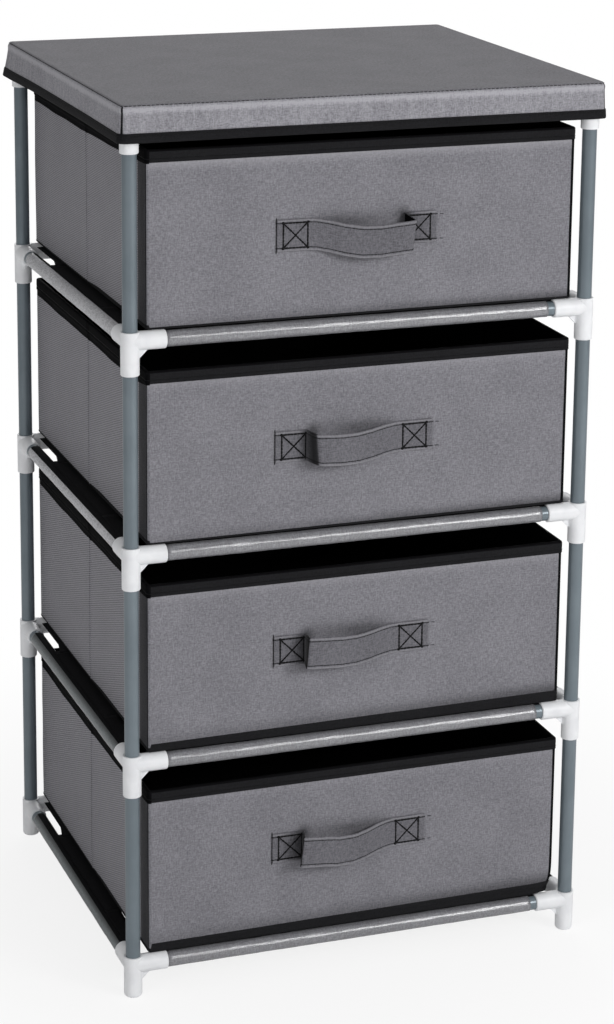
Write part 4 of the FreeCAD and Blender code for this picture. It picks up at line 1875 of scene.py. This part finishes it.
@dataclass
class Lid:
    """A cloth cover over a board, with a stitched top edge, a skirt that flares and a black binding."""

    finishes: Finishes
    corner: float = 5 * MM
    cloth: float = 1.0 * MM
    edge: float = 7.0 * MM
    inset: float = 18.0 * MM

    def __post_init__(self) -> None:
        """Read the cover's size and cut its outline."""
        self.low, self.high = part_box("lid_cover")
        self.band_low, self.band_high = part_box("lid_band")
        across, depth = np.linspace(0, 1, 90), np.linspace(0, 1, 80)
        low, high = (self.low.x, self.low.y), (self.high.x, self.high.y)
        self.outline = Outline(low, high, self.corner, across, depth, arc=9)

    def flare(self, height: float) -> np.ndarray:
        """Say how far the skirt hangs outwards, most of all at its back left and front left corners.

        Args:
            height: The height of the ring.

        Returns:
            The distance outwards at each place of the ring.
        """
        outline = self.outline
        x, y = outline.x, outline.y
        drop = np.clip((self.high.z - 4 * MM - height) / (self.high.z - self.band_low.z), 0, 1)
        places = np.column_stack([x, y, np.full(outline.count, height)])
        amount = 1.2 * MM + wave(places, 9.0, 3) * 0.9 * MM + wave(places, 26.0, 5) * 0.35 * MM
        amount += 5.0 * MM * hill(np.hypot(x - self.low.x, y - self.high.y), 0.0, 90 * MM)
        amount += 1.6 * MM * hill(np.hypot(x - self.low.x, y - self.low.y), 0.0, 70 * MM)
        return amount * drop**1.3

    def cover(self) -> bpy.types.Object:
        """Make the cover: its skirt and top, and their inner faces.

        Returns:
            The cover.
        """
        shell = SewnShell(self.outline)
        top, foot = self.high.z, self.low.z
        turn = self.outline.turn
        corner = (turn > 0.4) & (turn < 0.6)
        skirt = np.where(corner, LidFace.SEAM, LidFace.SKIRT)
        dent = np.where(corner | np.roll(corner, 1), -0.3 * MM, 0.0)
        lining = LidFace.LINING
        rows = [Row(-self.cloth, foot, lining, self.flare(foot))]
        for share in np.linspace(0, 1, 10):
            z = foot + (top - self.edge - foot) * share
            rows.append(Row(0.0, z, skirt, self.flare(z) + dent))
        # The rolled edge and then the top: out from the skirt and up from the top, in mm.
        for out, rise in ((0.3, -5.4), (0.35, -4.3), (0.15, -3.2), (-0.2, -2.4), (-0.6, -1.8), (-0.95, -1.5)):
            rows.append(Row(out * MM, top + rise * MM, skirt, dent * 0.5))
        for out, rise in (
            (-1.1, -1.0), (-1.3, -0.5), (-1.9, -0.12), (-2.8, 0.02),
            (-4.0, 0.05), (-6.0, 0.0), (-10.0, 0.0), (-self.inset / MM, 0.0),
        ):
            rows.append(Row(out * MM, top + rise * MM, LidFace.TOP))
        ceiling = top - self.cloth + 0.02 * MM
        inner = [
            Row(-self.inset, ceiling, lining),
            Row(-self.cloth - 4.0 * MM, ceiling, lining),
            Row(-self.cloth - 1.2 * MM, ceiling - 1.6 * MM, lining),
            Row(-self.cloth, ceiling - 6.0 * MM, lining, self.flare(ceiling - 6.0 * MM)),
            Row(-self.cloth, foot, lining, self.flare(foot)),
        ]
        shell.wall(rows)
        shell.wall(inner)
        shell.sheet(-self.inset, self.top_height, LidFace.TOP, up=True)
        shell.sheet(-self.inset, lambda x, y: np.full_like(x, ceiling), lining, up=False)
        use = self.finishes
        return shell.skin.build("lid_cloth_cover", [use.lid, use.skirt, use.thread, use.lining])

    def top_height(self, x: np.ndarray, y: np.ndarray) -> np.ndarray:
        """Give the top's height, with the faint unevenness of cloth over board.

        Args:
            x: The places' x.
            y: Their y.

        Returns:
            Their height.
        """
        places = np.column_stack([x.ravel(), y.ravel(), np.zeros(x.size)])
        in_x = np.minimum(x - self.low.x, self.high.x - x)
        in_y = np.minimum(y - self.low.y, self.high.y - y)
        fade = np.clip((np.minimum(in_x, in_y) - self.inset) / (40 * MM), 0, 1)
        broad, fine = (wave(places, scale, seed).reshape(x.shape) for scale, seed in ((7.0, 2), (21.0, 4)))
        soft = broad * 0.5 * MM + fine * 0.15 * MM
        return self.high.z + (soft - 0.35 * MM) * fade

    def band(self) -> bpy.types.Object:
        """Make the binding folded round the skirt's lower edge.

        Returns:
            The binding.
        """
        shell = SewnShell(self.outline)
        top, foot = self.band_high.z / MM, self.band_low.z / MM
        rows = []
        # The binding's section: out from the skirt, and its height, in mm.
        for out, z in (
            (-1.4, top), (0.1, top + 0.3), (0.55, top - 0.1), (0.6, top - 1.1), (0.35, top - 1.8),
            (0.6, top - 2.5), (0.6, foot + 2), (0.5, foot + 0.6), (0.0, foot), (-1.0, foot),
            (-1.6, foot + 0.6), (-1.7, foot + 3), (-1.7, top - 0.5), (-1.4, top),
        ):
            rows.append(Row(out * MM, z * MM, 0, self.flare(z * MM)))
        shell.wall(rows)
        return shell.skin.build("lid_binding", [self.finishes.binding])

    def seams(self) -> list[Seam]:
        """Lay the stitch lines round the top's edge and along the binding.

        Returns:
            The two seams, all round.
        """
        outline = self.outline
        normals = outline.normals
        edge = outline.level(outline.ring(-1.0 * MM), self.high.z - 1.05 * MM)
        slant = np.column_stack([normals, np.ones(outline.count)]) / math.sqrt(2)
        z = self.band_high.z - 1.8 * MM
        ring = outline.ring(0.5 * MM) + normals * self.flare(z)[:, None]
        lower = Seam(outline.level(ring, z), outline.level(normals, 0.0), 0.8)
        return [Seam(edge, slant, 0.8).closed(), lower.closed()]

    def build(self) -> None:
        """Make the cover, binding and stitches, and put them on the lid."""
        cover, band = self.cover(), self.band()
        sewing = StitchRow(length=3.5 * MM, pitch=3.9 * MM)
        stitches = sewing.sew("lid_stitches", self.seams(), self.finishes.thread)
        for piece, cloth in ((cover, "lid_cloth"), (band, "binding_cloth")):
            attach(piece, "lid")
        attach(stitches, "lid")
        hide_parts("lid_cover")
        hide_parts("lid_band")
        LOG.info("lid: cover, binding and stitches")


# ---------------------------------------------------------------- studio

@dataclass(frozen=True)
class Lamp:
    """A soft rectangular lamp that looks at the middle of the dresser."""

    name: str
    place: tuple[float, float, float]
    size: tuple[float, float]
    power: float
    aim: tuple[float, float, float] = (0.0, 0.0, 0.4)
    shiny: bool = True

    def hang(self) -> None:
        """Hang the lamp."""
        light = bpy.data.lights.new(self.name, "AREA")
        light.shape = "RECTANGLE"
        light.size, light.size_y = self.size
        light.energy = self.power
        thing = show(self.name, light)
        thing.location = self.place
        thing.rotation_euler = (Vector(self.aim) - Vector(self.place)).to_track_quat("-Z", "Y").to_euler()
        thing.visible_glossy = self.shiny


@dataclass
class Studio:
    """Camera, lamps, floor and backdrop."""

    azimuth: float = 19.895
    elevation: float = 13.4
    distance: float = 2.6093
    focal: float = 2812.1
    horizon: float = 300.0
    roll: float = 0.562
    target: tuple[float, float, float] = (0.0140, 0.006525, 0.5779)
    room: float = 0.27
    reach: float = 6.0
    lamps: tuple[Lamp, ...] = (
        Lamp("key", (1.75, -2.4, 1.5), (0.9, 0.9), 33, (0.0, 0.0, 0.25)),
        Lamp("strip", (1.05, -2.75, 1.5), (1.8, 0.065), 15),
        Lamp("fill", (-2.2, -1.6, 1.2), (0.8, 1.6), 15, shiny=False),
        Lamp("top", (0.3, 0.2, 2.7), (1.2, 1.2), 7.5),
        Lamp("rear", (0.8, 2.7, 1.1), (1.4, 1.8), 24),
    )

    def camera(self) -> None:
        """Set up the camera."""
        az, el = math.radians(self.azimuth), math.radians(self.elevation)
        back = Vector((-math.sin(az) * math.cos(el), -math.cos(az) * math.cos(el), math.sin(el)))
        lens = bpy.data.cameras.new("camera")
        eye = show("camera", lens)
        eye.location = Vector(self.target) + back * self.distance
        turn = (-back).to_track_quat("-Z", "Y").to_matrix()
        spin = math.radians(self.roll)
        right, up = turn.col[0].copy(), turn.col[1].copy()
        turn.col[0] = right * math.cos(spin) + up * math.sin(spin)
        turn.col[1] = up * math.cos(spin) - right * math.sin(spin)
        eye.rotation_euler = turn.to_euler()
        lens.sensor_fit = "AUTO"
        lens.sensor_width = 36.0
        lens.lens = self.focal / max(PICTURE) * lens.sensor_width
        lens.shift_y = (self.horizon - PICTURE[1] / 2) / PICTURE[1]
        lens.clip_end = 50.0
        bpy.context.scene.camera = eye

    def world(self) -> None:
        """Light the room softly, and show it white."""
        world = bpy.data.worlds.new("studio")
        bpy.context.scene.world = world
        world.use_nodes = True
        world.node_tree.nodes.clear()
        add = partial(add_node, world.node_tree)
        rays = add("ShaderNodeLightPath").outputs
        seen = add(
            "ShaderNodeMath",
            {"operation": "MAXIMUM"},
            {0: rays["Is Camera Ray"], 1: rays["Is Transmission Ray"]},
        )
        soft, white = (
            add("ShaderNodeBackground", None, {0: (1, 1, 1, 1), 1: strength}).outputs[0]
            for strength in (self.room, 1.0)
        )
        mixed = add("ShaderNodeMixShader", None, {0: seen.outputs[0], 1: soft, 2: white})
        add("ShaderNodeOutputWorld", None, {0: mixed.outputs[0]})

    def floor(self) -> None:
        """Lay the floor."""
        mesh = bpy.data.meshes.new("floor")
        far = self.reach
        mesh.from_pydata([(-far, -far, 0), (far, -far, 0), (far, far, 0), (-far, far, 0)], [], [(0, 1, 2, 3)])
        mesh.materials.append(StudioFloor("studio_floor").build())
        thing = show("floor", mesh)

    def build(self) -> None:
        """Set the whole studio up."""
        self.camera()
        for lamp in self.lamps:
            lamp.hang()
        self.world()
        self.floor()
        bpy.context.scene.view_settings.view_transform = "Standard"
        LOG.info("studio: camera, %d lamps and floor", len(self.lamps))


DRAWER_CUTS = {
    1: DrawerCut(
        Slack(Lean.LEFT, 6.2 * MM, 0.0, 5.0 * MM, 0.14),
        sill=(8.5 * MM, 11.0 * MM),
        curl=(1.0 * MM, 4.0 * MM),
        tucked=5.0 * MM,
        painted_highlight_under_hem=0.15,
    ),
    2: DrawerCut(
        Slack(Lean.LEFT, 2.9 * MM, -1.0 * MM, 3.0 * MM, 0.13),
        sill=(7.5 * MM, 10.5 * MM),
        curl=(0.5 * MM, 2.0 * MM),
    ),
    3: DrawerCut(
        Slack(Lean.LEFT, -5.1 * MM, 1.0 * MM, 2.5 * MM, -0.07),
        sill=(1.8 * MM, 2.6 * MM),
        curl=(0.3 * MM, 1.0 * MM),
        deepens=0.12,
    ),
    4: DrawerCut(
        Slack(Lean.RIGHT, 2.7 * MM, 4.5 * MM, 4.0 * MM, 0.13),
        sill=(2.0 * MM, 2.2 * MM),
        curl=(0.2 * MM, 0.2 * MM),
        painted_highlight_under_hem=0.55,
    ),
}


def main() -> None:
    """Build every piece in order."""
    logging.basicConfig(level=logging.INFO, format="%(name)s: %(message)s")
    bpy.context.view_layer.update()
    finishes = Finishes()
    Studio().build()
    TubeFrame(finishes).dress()
    seams: list[Seam] = []
    for number in range(1, SHELVES + 1):
        seams += Shelf(number, finishes).build()
    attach(StitchRow().sew("shelf_stitches", seams, finishes.thread), "frame")
    for number, cut in DRAWER_CUTS.items():
        Drawer(number, cut, finishes).build()
    Lid(finishes).build()
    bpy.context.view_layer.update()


if __name__ == "__main__":
    main()
